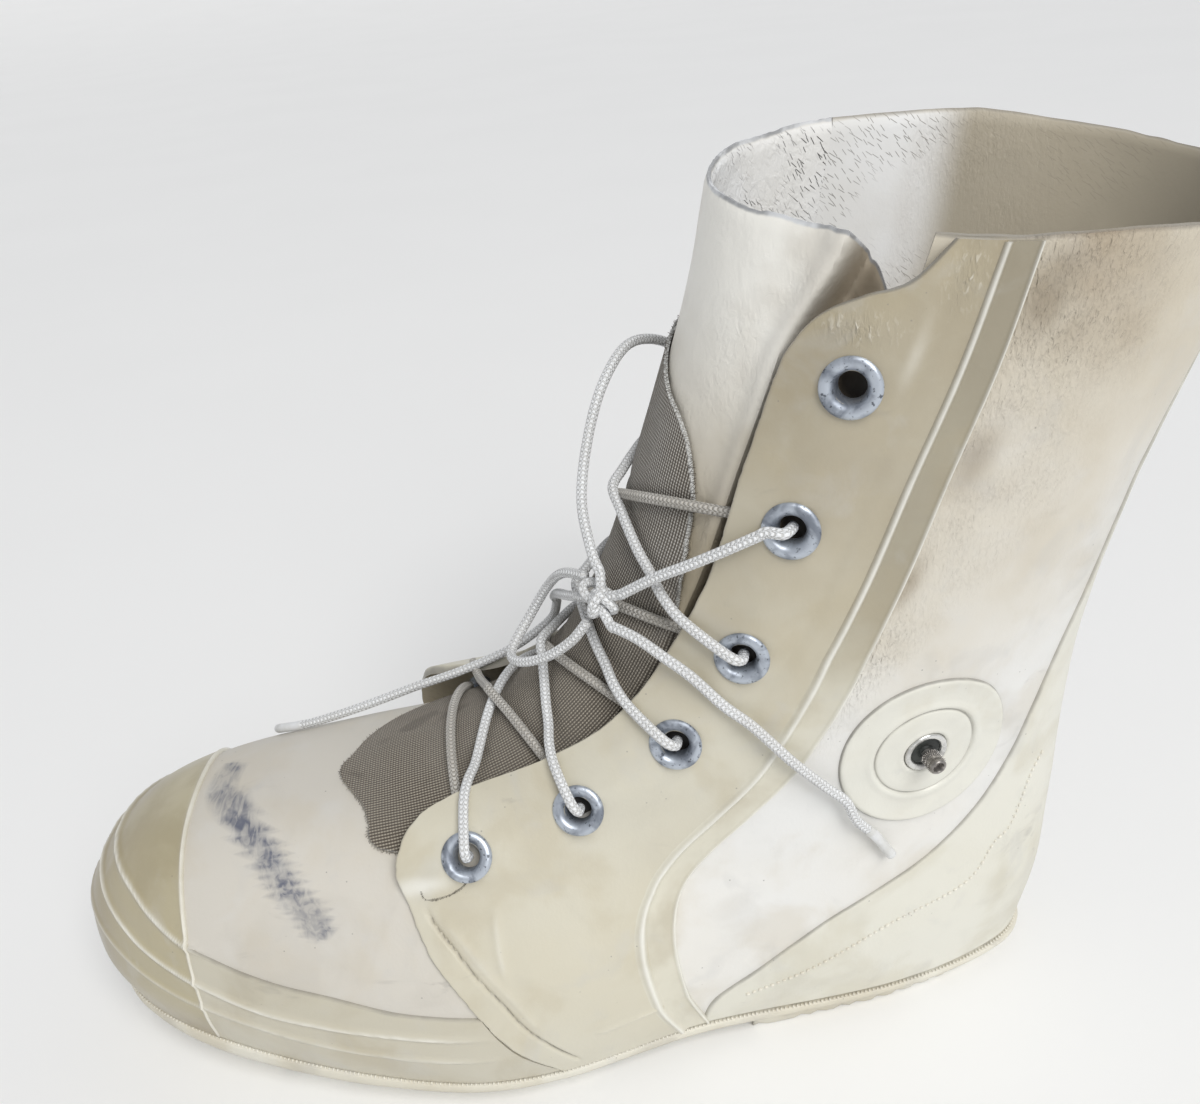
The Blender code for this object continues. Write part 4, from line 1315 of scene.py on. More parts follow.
@dataclass(frozen=True)
class Repeat:
    """A Geometry Nodes tree that sets small shapes along a path.

    Attributes:
        bead: the shape.
        size: its length along the path, its width and its height, in millimetres.
        spacing: from one to the next, in millimetres.
        lean: tilt of each one, and how far it may stray, in radians.
    """

    bead: Bead
    size: tuple[float, float, float]
    spacing: float
    lean: tuple[float, float] = (0.0, 0.0)

    def tree(self, finish: bpy.types.Material) -> bpy.types.NodeTree:
        """Builds the tree, with inputs named Spacing, Size and Seed.

        Args:
            finish: the material that it sets.

        Returns:
            The node group.
        """
        group = bpy.data.node_groups.new("repeat along a path", "GeometryNodeTree")
        sockets = {
            "Path": ("NodeSocketGeometry", None), "Spacing": ("NodeSocketFloat", 0.002),
            "Size": ("NodeSocketVector", (0.001,) * 3), "Seed": ("NodeSocketInt", SEED),
        }
        for name, (kind, value) in sockets.items():
            socket = group.interface.new_socket(name, in_out="INPUT", socket_type=kind)
            if value is not None:
                socket.default_value = value
        group.interface.new_socket("Result", in_out="OUTPUT", socket_type="NodeSocketGeometry")
        node = partial(add_node, group)
        start = node("NodeGroupInput", {})
        seed = start.outputs["Seed"]
        curve = node("GeometryNodeMeshToCurve", {"Mesh": start.outputs["Path"]})
        spaced = {"Curve": curve.outputs[0], "Length": start.outputs["Spacing"]}
        points = node("GeometryNodeCurveToPoints", spaced, mode="LENGTH")
        shape = node(*self.bead.value)
        astray = {"Min": (-self.lean[1],) * 3, "Max": (self.lean[1],) * 3, "Seed": seed}
        stray = node("FunctionNodeRandomValue", astray, data_type="FLOAT_VECTOR")
        leant = {0: stray.outputs[0], 1: (self.lean[0], 0.0, 0.0)}
        tilt = node("ShaderNodeVectorMath", leant, operation="ADD")
        turned_by = node("FunctionNodeEulerToRotation", {0: tilt.outputs[0]})
        both = {0: points.outputs["Rotation"], 1: turned_by.outputs[0]}
        whole = node("FunctionNodeRotateRotation", both, rotation_space="LOCAL")
        vary = node("FunctionNodeRandomValue", {2: 0.75, 3: 1.2, "Seed": seed}, data_type="FLOAT")
        varied = {0: start.outputs["Size"], "Scale": vary.outputs[1]}
        sized = node("ShaderNodeVectorMath", varied, operation="SCALE")
        copies = node("GeometryNodeInstanceOnPoints", {
            "Points": points.outputs["Points"], "Instance": shape.outputs["Mesh"],
            "Rotation": whole.outputs[0], "Scale": sized.outputs[0],
        })
        real = node("GeometryNodeRealizeInstances", {0: copies.outputs[0]})
        smooth = node("GeometryNodeSetShadeSmooth", {0: real.outputs[0]})
        painted = node("GeometryNodeSetMaterial", {"Geometry": smooth.outputs[0], "Material": finish})
        node("NodeGroupOutput", {0: painted.outputs[0]})
        return group

    def along(
        self, name: str, path: Array, finish: bpy.types.Material, closed: bool = False,
    ) -> bpy.types.Object:
        """Sets the shapes along a path and returns them as one plain mesh.

        Args:
            name: the piece's name.
            path: points in millimetres.
            finish: its material.
            closed: whether the path is a loop.

        Returns:
            The piece.
        """
        count = len(path)
        edges = [(k, k + 1) for k in range(count - 1)] + ([(count - 1, 0)] if closed else [])
        host_mesh = bpy.data.meshes.new(name + "_path")
        host_mesh.from_pydata(np.asarray(path) * MM, edges, [])
        host = add_object(name + "_path", host_mesh)
        group = self.tree(finish)
        modifier = host.modifiers.new("repeat", "NODES")
        modifier.node_group = group
        ids = {item.name: item.identifier for item in group.interface.items_tree if item.in_out == "INPUT"}
        modifier[ids["Spacing"]] = self.spacing * MM
        modifier[ids["Size"]] = [s * MM for s in (self.size[1], self.size[2], self.size[0])]
        modifier[ids["Seed"]] = SEED
        seen = host.evaluated_get(bpy.context.evaluated_depsgraph_get())
        mesh = bpy.data.meshes.new_from_object(seen)
        mesh.name = name
        host.modifiers.remove(modifier)
        bpy.data.objects.remove(host)
        return add_object(name, mesh)


# ---- rubber pieces


@dataclass
class Upper:
    """The vamp, quarters and shaft as one hollow wall, open at the collar, throat and underneath."""

    columns: int = 240
    foot_rows: int = 56
    instep_rows: int = 18
    shaft_rows: int = 66
    smear_route: Profile = ((3.8, -7), (3.9, 16), (3.62, 37), (3.1, 51), (2.78, 57))
    smear_half: float = 5.4
    stain_spots: tuple[tuple[float, float, float, float, float], ...] = (
        (10.55, 90, 0.42, 6.5, 1.0), (10.2, 97, 0.3, 6.0, 0.5), (9.15, 90, 0.36, 5.5, 0.7),
        (8.1, 88, 0.34, 3.6, 0.75),
    )

    def levels(self) -> Array:
        """v of every row, closest together round the toe and rounded over at the collar."""
        return np.concatenate([
            np.linspace(0, 3, self.foot_rows, endpoint=False),
            np.linspace(3, THROAT_V, self.instep_rows, endpoint=False),
            np.linspace(THROAT_V, COLLAR_V - 0.04, self.shaft_rows),
            [COLLAR_V - 0.012, COLLAR_V],
        ])

    def smear(self, places: Array) -> Array:
        """How much of a faded ink smear lies at each place."""
        line = FORM.at(*smooth_rows(self.smear_route, 60).T)
        away = np.sqrt(((places.reshape(-1, 1, 3) - line) ** 2).sum(-1)).min(1)
        return ease((self.smear_half - away) / 1.8).reshape(places.shape[:-1])

    def puckers(self, v: Array, turn: Array, places: Array) -> Array:
        """Where the shaft is finely puckered: behind the strips and below the collar."""
        away = np.abs((turn + 180) % 360 - 180)
        reach = 98 + 44 * ease((v - 6.7) / 2.6)
        behind = ease((away - 78) / 6) * ease((reach - away) / (reach - 88)) * ease((v - 5.2) / 1.6)
        patchy = np.clip(0.72 + 0.6 * lumps(places, 24.0, 11.0) + 0.3 * lumps(places, 8.0, 12.0), 0.05, 1)
        return behind * patchy

    def stains(self, v: Array, turn: Array) -> Array:
        """Where the outer side has gone brown behind the strip."""
        found = [strength * bell(v - at_v, half_v) * bell(turn - at_turn, half_turn)
                 for at_v, at_turn, half_v, half_turn, strength in self.stain_spots]
        return np.max(found, axis=0)

    def build(self, finishes: Made) -> None:
        """Builds the wall and puts it on the boot."""
        level = self.levels()
        turns = np.linspace(0, 360, self.columns, endpoint=False)
        v, turn = np.meshgrid(level, turns, indexing="ij")
        places = FORM.at(v, turn)
        bump = relief(places, BUMPER_LINES)
        turned_in = np.where(v > COLLAR_V - 0.03, 0.5, 0.0)
        rim = 0.35 * lumps(places, 7.0, 6.0) * ease((v - 10.7) / 0.3)
        outer = FORM.skin(v, turn, bump - turned_in)
        inner = FORM.skin(v, turn, -FORM.wall(v) + 0.5 * bump + turned_in)
        outer[..., 2] += rim
        inner[..., 2] += rim
        middle = (turns + 180 / self.columns) % 360
        in_throat = (middle < THROAT_TURN) | (middle > 360 - THROAT_TURN)
        keep = ~(in_throat & (level[:-1, None] >= THROAT_V - 1e-6))
        grime = ease((v - (COLLAR_V - 0.05)) / 0.05)
        marks = {
            "grime": (grime, grime), "inside": within(1 - grime * 0.9), "smear": outside(self.smear(places)),
            "stain": outside(self.stains(v, turn)),
            "pucker": (self.puckers(v, turn, places), 0.3 * self.puckers(v, turn + 8, places)),
            "pale": within(ease((turn - 256) / 12) * ease((v - 7) / 3)),
        }
        obj = plate("boot_upper", outer, inner, closed=True, keep=keep, marks=marks)
        place(obj, finishes["shaft"], "shaft", "upper")


@dataclass
class ToeCap:
    """The moulded cap over the toe, with a fine raised bead along its back edge."""

    back_y: float = -240.0
    proud: float = 1.0
    bead: float = 0.4
    foot: float = 0.06
    columns: int = 230
    rows: int = 96

    def edge_turn(self, v: Array) -> Array:
        """The turn at which the cap's back edge crosses level v."""
        sizes = Section(*FORM.columns(v))
        part = (self.back_y - sizes.front_y) / (sizes.back_y - sizes.front_y)
        return np.degrees(np.arccos(np.clip(1 - 2 * part, -1, 1)))

    def build(self, finishes: Made) -> None:
        """Builds the cap as a fan from its back edge down to the sole."""
        level = np.linspace(self.foot, 4.0, 4000)
        top = level[np.argmax(self.edge_turn(level) <= 1e-6)]
        part = np.linspace(-1, 1, self.columns)
        edge_v = self.foot + (top - self.foot) * (1 - np.abs(part) ** 2.2)
        edge_turn = np.sign(part) * self.edge_turn(edge_v)
        foot_turn = float(self.edge_turn(np.array(self.foot))) * part
        close = np.array([0.0, 0.0015, 0.005, 0.011, 0.02, 0.032, 0.046])
        down = np.concatenate([close, np.linspace(0.062, 1, self.rows)])[:, None]
        v = edge_v * (1 - down) + self.foot * down
        turn = edge_turn * (1 - down) + foot_turn * down
        places = FORM.at(v, turn)
        distance = np.abs(self.back_y - places[..., 1])
        profile = rounded(distance, 0.6)
        bead = self.bead * bell(distance - 0.6, 0.55)
        bump = relief(places, BUMPER_LINES)
        outer = FORM.skin(v, turn, bump + self.proud * profile + bead * profile)
        inner = FORM.skin(v, turn, np.minimum(bump, 0) - 0.7)
        # the ridges and the edge bead are painted pale: rubbing, and painted highlights
        worn = np.maximum(ridges(places, BUMPER_LINES), 0.9 * bell(distance - 0.4, 0.65))
        obj = plate("boot_toe_cap", outer, inner, marks={"worn": outside(worn)})
        place(obj, finishes["cap"], "foxing", "toe_cap")


FOXING_TOP = ((2.34, 27), (2.2, 34), (2.03, 42), (1.84, 54), (1.78, 63), (1.66, 71), (1.6, 80))
PANEL_OUTLINE = (
    (0.05, 88, 102.5), (0.5, 86, 101.5), (1.1, 82.8, 99.8), (1.95, 77.6, 98), (2.6, 72, 96.4),
    (3.05, 67.8, 95.2), (3.4, 63.6, 94), (3.8, 57.6, 92.2), (4.2, 52, 90.4), (4.5, 47.5, 88.6),
    (4.8, 43.5, 87.3), (5.1, 41, 86.2), (5.5, 40, 84.8), (6.0, 41, 83), (6.6, 44, 80.9), (7.4, 45, 79),
    (8.2, 46.5, 78.8), (9.0, 45.5, 78.6), (9.8, 45, 78.5), (10.1, 46.5, 78.5), (10.35, 50.5, 78.5),
    (10.52, 57, 78.5), (10.7, 65, 78.5), (11.3, 73.5, 78.5),
)
STRIP_OUTLINE = (
    (0.05, 101.5, 106), (1.0, 98.6, 103.2), (2.0, 96.2, 101.2), (3.2, 93.4, 98.7), (4.4, 88.5, 95.6),
    (5.4, 84.8, 92.8), (6.3, 81.2, 90.4), (7.4, 77.8, 88.2), (9.0, 77.2, 86.8), (11.3, 77.0, 85.0),
)
COUNTER_OUTLINE = (
    (0.05, 105), (0.65, 106.6), (1.1, 112), (1.55, 119), (1.9, 127), (2.3, 135), (2.9, 142), (3.7, 146.5),
    (4.6, 149), (5.6, 151), (7.0, 155), (9.0, 159), (11.3, 161),
)
CLOTH_OUTLINE = (
    (4.12, 49, 55), (4.25, 44.5, 56), (4.42, 40, 56), (4.6, 33, 57), (4.7, 27, 57.5), (4.76, 18, 58),
    (4.8, 6, 58), (4.92, -4, 58), (4.98, -24, 58), (5.06, -50, 58), (5.3, -57, 58), (5.8, -58, 58),
    (6.5, -58, 57), (7.3, -57, 50), (7.9, -57, 41), (8.3, -57, 37), (8.65, -57, 34), (8.95, -56, 29),
    (9.2, -55, 21), (9.4, -53, 6), (9.6, -50, -14), (9.75, -44, -30),
)
EYELETS = ((4.27, 61.4), (5.29, 62.5), (6.5, 61.7), (7.53, 61.8), (8.64, 60), (9.82, 60.4))


def outline_on(side: int, rows: Outline) -> Outline:
    """An outline of the outer side, for one side."""
    return tuple(rows) if side > 0 else tuple((v, -last, -first) for v, first, last in rows)


def sunk(v: Array, turn: Array) -> Array:
    """The inner side of a piece that is buried in the rubber under it."""
    return np.full_like(turn, -0.6)


@dataclass
class Foxing:
    """The band round the ball of the foot, between the toe cap and the side panel."""

    proud: float = 0.8
    foot: float = 0.04
    mm_per_v: float = 22.0
    rows: int = 70
    columns: int = 130

    def build(self, finishes: Made) -> None:
        """Builds the band on both sides."""
        for side, label in SIDES:
            part = np.linspace(0, 1, self.rows)[:, None]
            top_v, top_turn = smooth_rows(FOXING_TOP, self.columns).T
            foot_turn = np.interp(top_turn, [27, 80], [27, 88])
            v = self.foot + (top_v - self.foot) * part
            turn = (foot_turn * (1 - part) + top_turn * part) * side
            places = FORM.at(v, turn)
            distance = np.abs(top_v - v) * self.mm_per_v
            lines = lines_on(side, BUMPER_LINES)
            bump = relief(places, lines)
            outer = FORM.skin(v, turn, bump + self.proud * rounded(distance, 0.8))
            inner = FORM.skin(v, turn, np.minimum(bump, 0) - 0.7)
            # grime, and painted shadow in the gap along the top edge
            grime = np.exp(-distance / 0.9)
            # the ridges are painted pale: rubbing, and painted highlights
            marks = {"grime": (grime, grime), "worn": outside(0.8 * ridges(places, lines))}
            obj = plate(f"boot_foxing_{label}", outer, inner, marks=marks)
            place(obj, finishes["foxing"], "foxing", f"foxing_{label}")


@dataclass
class SidePanel:
    """The side panel with its free eyelet flap, and the raised strip behind it."""

    sheet: float = 1.5          # where it lies on the quarter
    flap: float = 2.9           # where it is free
    stand_off: float = 4.3      # of the laced edge
    strip: float = 1.2
    strip_wide: float = 8.0
    rib: float = 1.6
    hole: float = 4.3
    crack_route: Profile = (
        (3.98, 64.6), (3.84, 66.6), (3.68, 67.2), (3.52, 66.6), (3.5, 65.2), (3.62, 63.4),
    )

    def free(self, v: Array, turn: Array) -> Array:
        """How free of the quarter the flap is, from 0 to 1."""
        return ease((v - 3.25) / 0.9) * ease((81 - np.abs(turn)) / 22)

    def lift(self, v: Array, turn: Array) -> Array:
        """How far the inside of the flap stands off: buried in the quarter, free past its laced edge."""
        wave = 0.5 * np.sin(v * 3.1) * ease((62 - np.abs(turn)) / 12)
        pulled = 5.5 * bell(v - 4.7, 0.75) * ease((70 - np.abs(turn)) / 22) * (turn < 0)
        return -0.5 + (self.stand_off + 0.5 + wave + pulled) * self.free(v, turn)

    def top(self, v: Array, turn: Array) -> Array:
        """How far its outside stands off."""
        free = self.free(v, turn)
        welt = 0.9 * bell(np.abs(turn) - 71, 2.6) * ease((v - 5) / 2)
        pad = 0.9 * bell(np.abs(turn) - 69.5, 2.0) * bell(v - 10.15, 0.45)
        thick = self.sheet + (self.flap - self.sheet) * free
        return self.lift(v, turn) + 0.5 * (1 - free) + thick - welt + pad

    def dimples(self, v: Array, turn: Array) -> Array:
        """Where the flap's top is dimpled."""
        turn = np.abs(turn)
        low = bell(v - 10.28, 0.11) * bell(turn - 58, 6)
        high = bell(v - 10.72, 0.2) * bell(turn - 74, 3)
        return low + high

    def across_strip(self, v: Array, turn: Array) -> Array:
        """How far across the strip each place is, in millimetres."""
        rows, firsts, lasts = np.array(STRIP_OUTLINE).T
        first, last = np.interp(v, rows, firsts), np.interp(v, rows, lasts)
        return (np.abs(turn) - first) / (last - first) * self.strip_wide

    def strip_top(self, v: Array, turn: Array) -> Array:
        """Height of the strip: level with the panel in front, then a soft rib, and a fine one at its back."""
        across = self.across_strip(v, turn)
        rib = self.rib * bell(across - 1.6, 0.72)
        fine = 0.7 * bell(across - 7.5, 0.36)
        return self.strip + (self.sheet - self.strip - 0.05) * ease(1 - across / 1.6) + rib + fine

    def corner(self, v: Array, turn: Array) -> Array:
        """Where the flap is pale: rubbed pale at its front corner, below the crack, and a painted highlight on
        the pad at its top.
        """
        turn = np.abs(turn)
        # painted highlight on the pad at the flap's top
        pad = 0.45 * bell(v - 10.1, 0.38) * bell(turn - 69.5, 2.0)
        return pad + 0.95 * bell(v - 3.70, 0.24) * bell(turn - 62.5, 3.4)

    def rubbed(self, v: Array, turn: Array) -> Array:
        """Where the strip is rubbed pale along its rib and its back edge, with painted highlights on their
        crests.
        """
        across = self.across_strip(v, turn)
        return bell(across - 1.6, 0.6) + bell(across - 7.6, 0.42)

    def build(self, finishes: Made) -> None:
        """Builds the panels and strips of both sides."""
        for side, label in SIDES:
            front, back = ("first", "last") if side > 0 else ("last", "first")
            panel = Panel(
                f"boot_panel_{label}", outline_on(side, PANEL_OUTLINE), self.lift, self.top,
                lines_on(side, PANEL_LINES), edge=0.9, step=1.0, ragged=0.14, bare=back, pucker=self.dimples,
                worn=self.corner,
            )
            obj = panel.build()
            self.punch(obj, side)
            place(obj, finishes["panel"], "panel", f"eyestay_{label}")
            strip = Panel(
                f"boot_strip_{label}", outline_on(side, STRIP_OUTLINE), sunk, self.strip_top,
                edge=0.5, step=0.5, bare=front, worn=self.rubbed,
            )
            place(strip.build(), finishes["strip"], "panel", f"quarter_strip_{label}")
        self.crack(finishes)

    def crack(self, finishes: Made) -> None:
        """The crack that runs from the lowest outer eyelet across the flap's corner."""
        rows = smooth_rows(self.crack_route, 46)
        jagged = 0.16 * lumps(FORM.at(*rows.T), 2.6, 9.0)[:, None]
        path = laid(rows, self.top(*rows.T) + 0.04, PANEL_LINES) + jagged
        # the dark hairs paint the shadow inside the crack
        hairs = Repeat(Bead.HAIR, (0.95, 0.26, 0.2), 0.42, (math.pi / 2, 0.12))
        place(hairs.along("boot_flap_crack", path, finishes["crack"]), finishes["crack"], "panel")

    def punch(self, obj: bpy.types.Object, side: int) -> None:
        """Punches the eyelet holes through a flap."""
        cutters = []
        for k, (v, turn) in enumerate(EYELETS):
            stand = FORM.stand(v, side * turn)
            cutters.append(turned(f"punch_{k}", [(self.hole, -8), (self.hole, 16)], stand, 28, loop=False))
        whole = cutters[0]
        with bpy.context.temp_override(active_object=whole, selected_editable_objects=cutters):
            bpy.ops.object.join()
        cut_away(obj, whole)


@dataclass
class HeelCounter:
    """The heel counter that runs up into the back stay, with a stitched line of dots inside its edge."""

    proud: float = 0.9
    dots: Profile = (
        (0.6, 110.5), (0.8, 118), (1.2, 129), (1.4, 142), (1.9, 147), (2.1, 151), (2.9, 155), (3.2, 158),
    )

    def build(self, finishes: Made) -> None:
        """Builds the counter and its dots."""
        outline = tuple((v, edge, 360 - edge) for v, edge in COUNTER_OUTLINE)
        panel = Panel("boot_heel_counter", outline, sunk, self.top, edge=0.8, step=1.9)
        place(panel.build(), finishes["counter"], "foxing", "heel_counter")
        dots = Repeat(Bead.BALL, (1.4, 1.0, 0.8), 2.2)
        for side, label in SIDES:
            rows = smooth_rows(self.dots, 160)
            if side < 0:
                rows[:, 1] = 360 - rows[:, 1]
            path = laid(rows, self.top(*rows.T) + 0.2)
            obj = dots.along(f"boot_counter_dots_{label}", path, finishes["bead"])
            place(obj, finishes["bead"], "foxing")

    def top(self, v: Array, turn: Array) -> Array:
        """Height of the counter, swelling a little over the heel's ledge."""
        back = bell(turn - 180, 60)
        return self.proud + 0.7 * bell(v - 0.7, 0.45) * back


@dataclass
class Throat:
    """The folded gusset that fills the throat and the cloth panel bonded over it."""

    sheet: float = 2.4
    columns: int = 190
    rows: int = 110
    cloth: float = 1.1
    cloth_off: float = 0.5

    def corner(self, v: Array) -> Array:
        """The turn of the gusset's outer crease."""
        return 43 + 7 * ease((v - 9.8) / 1.2)

    def sink(self, v: Array, turn: Array) -> Array:
        """How far the gusset stands off the form: bulged in front and folded in behind its outer crease."""
        shaft = ease((v - 6.0) / 2.5)
        corner = self.corner(v)
        crest = 2.6 * bell(turn - corner + 0.5, 3.4)
        back = 0.97 * ease((turn - corner - 4) / (61.3 - corner))
        fold = -14.0 * ease((turn - corner - 0.4) / 3.6) * (1 - back)
        collar = ease((v - 9.4) / 1.6)
        waves = 0.5 * np.sin(turn / 9.0 + v * 1.7) * shaft
        roll = 1.3 * collar * bell(turn - 2, 26)
        return shaft * (crest + fold) + waves + roll

    def build(self, finishes: Made) -> None:
        """Builds the gusset and the cloth."""
        margin = THROAT_TURN - 0.12
        turn = np.linspace(-margin, margin, self.columns)[None, :]
        drop = 0.06 * ease((turn + 64) / 22) + 0.27 * ease((turn - 50) / 4) + 0.3 * ease((turn - 54) / 12)
        top = COLLAR_V - drop
        part = np.concatenate([np.linspace(0, 0.985, self.rows), [0.992, 0.997, 1.0]])[:, None]
        v = THROAT_V + 0.03 + (top - THROAT_V - 0.03) * part
        turn = np.broadcast_to(turn, v.shape)
        places = FORM.at(v, turn)
        sink = self.sink(v, turn) + relief(places, ())
        rim = ease((part - 0.985) / 0.015)
        wall = FORM.wall(v) - 0.1
        thick = (self.sheet + (wall - self.sheet) * ease((np.abs(turn) - 58) / 7)) * (1 - 0.55 * rim)
        ragged = 0.4 * lumps(places, 6.0, 8.0) + 0.25 * lumps(places, 1.6, 8.5)
        ragged = ragged * ease((part - 0.94) / 0.06)
        outer = FORM.skin(v, turn, sink - 0.55 * rim)
        inner = FORM.skin(v, turn, sink - 0.3 * rim - thick)
        outer[..., 2] += ragged
        inner[..., 2] += ragged
        grime = np.broadcast_to(ease((part - 0.9935) / 0.005), v.shape)
        marks = {
            # hollow paints shade under the eyelet holes
            "grime": (grime, grime), "inside": within(1 - grime), "hollow": outside(shade_under_holes(places, 1)),
            "shaded": outside(ease((turn - self.corner(v) - 0.4) / 2.5) * ease((v - 5) / 2)),
        }
        obj = plate("boot_gusset", outer, inner, marks=marks, uv=flat(v, turn))
        place(obj, finishes["gusset"], "gusset", "gusset")
        cloth = Panel(
            "boot_tongue", CLOTH_OUTLINE, self.cloth_under, self.cloth_over, self.dents(), edge=0.7, step=1.1,
            ragged=0.3, ends=(True, True), cloth=True,
        )
        obj = cloth.build()
        place(obj, finishes["cloth"], "fabric", "tongue")
        self.fray(cloth, finishes)

    def cloth_under(self, v: Array, turn: Array) -> Array:
        """The cloth's inner side."""
        return self.cloth_off + np.maximum(self.sink(v, turn), 0) * ease((v - 5.2) / 1.0)

    def cloth_over(self, v: Array, turn: Array) -> Array:
        """The cloth's outer side."""
        return self.cloth_under(v, turn) + self.cloth

    def dents(self) -> tuple[MouldLine, ...]:
        """Soft troughs where the lace has pressed into the cloth."""
        found = []
        for k in range(4):
            for side in (1, -1):
                near, far = EYELETS[k], EYELETS[k + 1]
                points = crossing((near[0], side * near[1]), (far[0], -side * far[1]), 9)
                found.append(MouldLine(tuple(points), 0.6, 2.4, Lie.GROOVE, 8))
        return tuple(found)

    def fray(self, cloth: Panel, finishes: Made) -> None:
        """Loose threads along the cloth's cut edge."""
        v, turn, _ = cloth.grid()
        ring = [(v[i, 0], turn[i, 0]) for i in range(len(v) - 1, -1, -1)]
        ring += [(v[0, j], turn[0, j]) for j in range(v.shape[1])]
        ring += [(v[i, -1], turn[i, -1]) for i in range(len(v))]
        rows = np.array(ring)
        path = laid(rows, self.cloth_under(*rows.T) + self.cloth / 2)
        path = path[np.concatenate([[True], np.linalg.norm(np.diff(path, axis=0), axis=1) > 0.05])]
        threads = Repeat(Bead.HAIR, (1.9, 0.16, 0.16), 0.55, (1.5, 0.9))
        obj = threads.along("boot_tongue_fray", path, finishes["cloth"])
        place(obj, finishes["cloth"], "fabric")


def crossing(start: tuple[float, float], end: tuple[float, float], count: int) -> list[tuple[float, float]]:
    """Where a lace pulled straight between two eyelets runs over the tongue.

    Args:
        start: v and turn of the eyelet it leaves.
        end: v and turn of the eyelet it goes to.
        count: how many places are wanted, from flap to flap.

    Returns:
        v and turn of each place.
    """
    levels = np.linspace(3.4, COLLAR_V - 0.1, 320)
    first, last = FORM.at(*start), FORM.at(*end)
    cut = np.cross(last - first, FORM.normal((start[0] + end[0]) / 2 + 0.9, 0.0))
    places = []
    for turn in np.linspace(FLAP_TURN, -FLAP_TURN, count) * math.copysign(1, start[1]):
        off = (FORM.at(levels, turn) - first) @ cut
        order = np.argsort(off)
        places.append((float(np.interp(0.0, off[order], levels[order])), float(turn)))
    return places


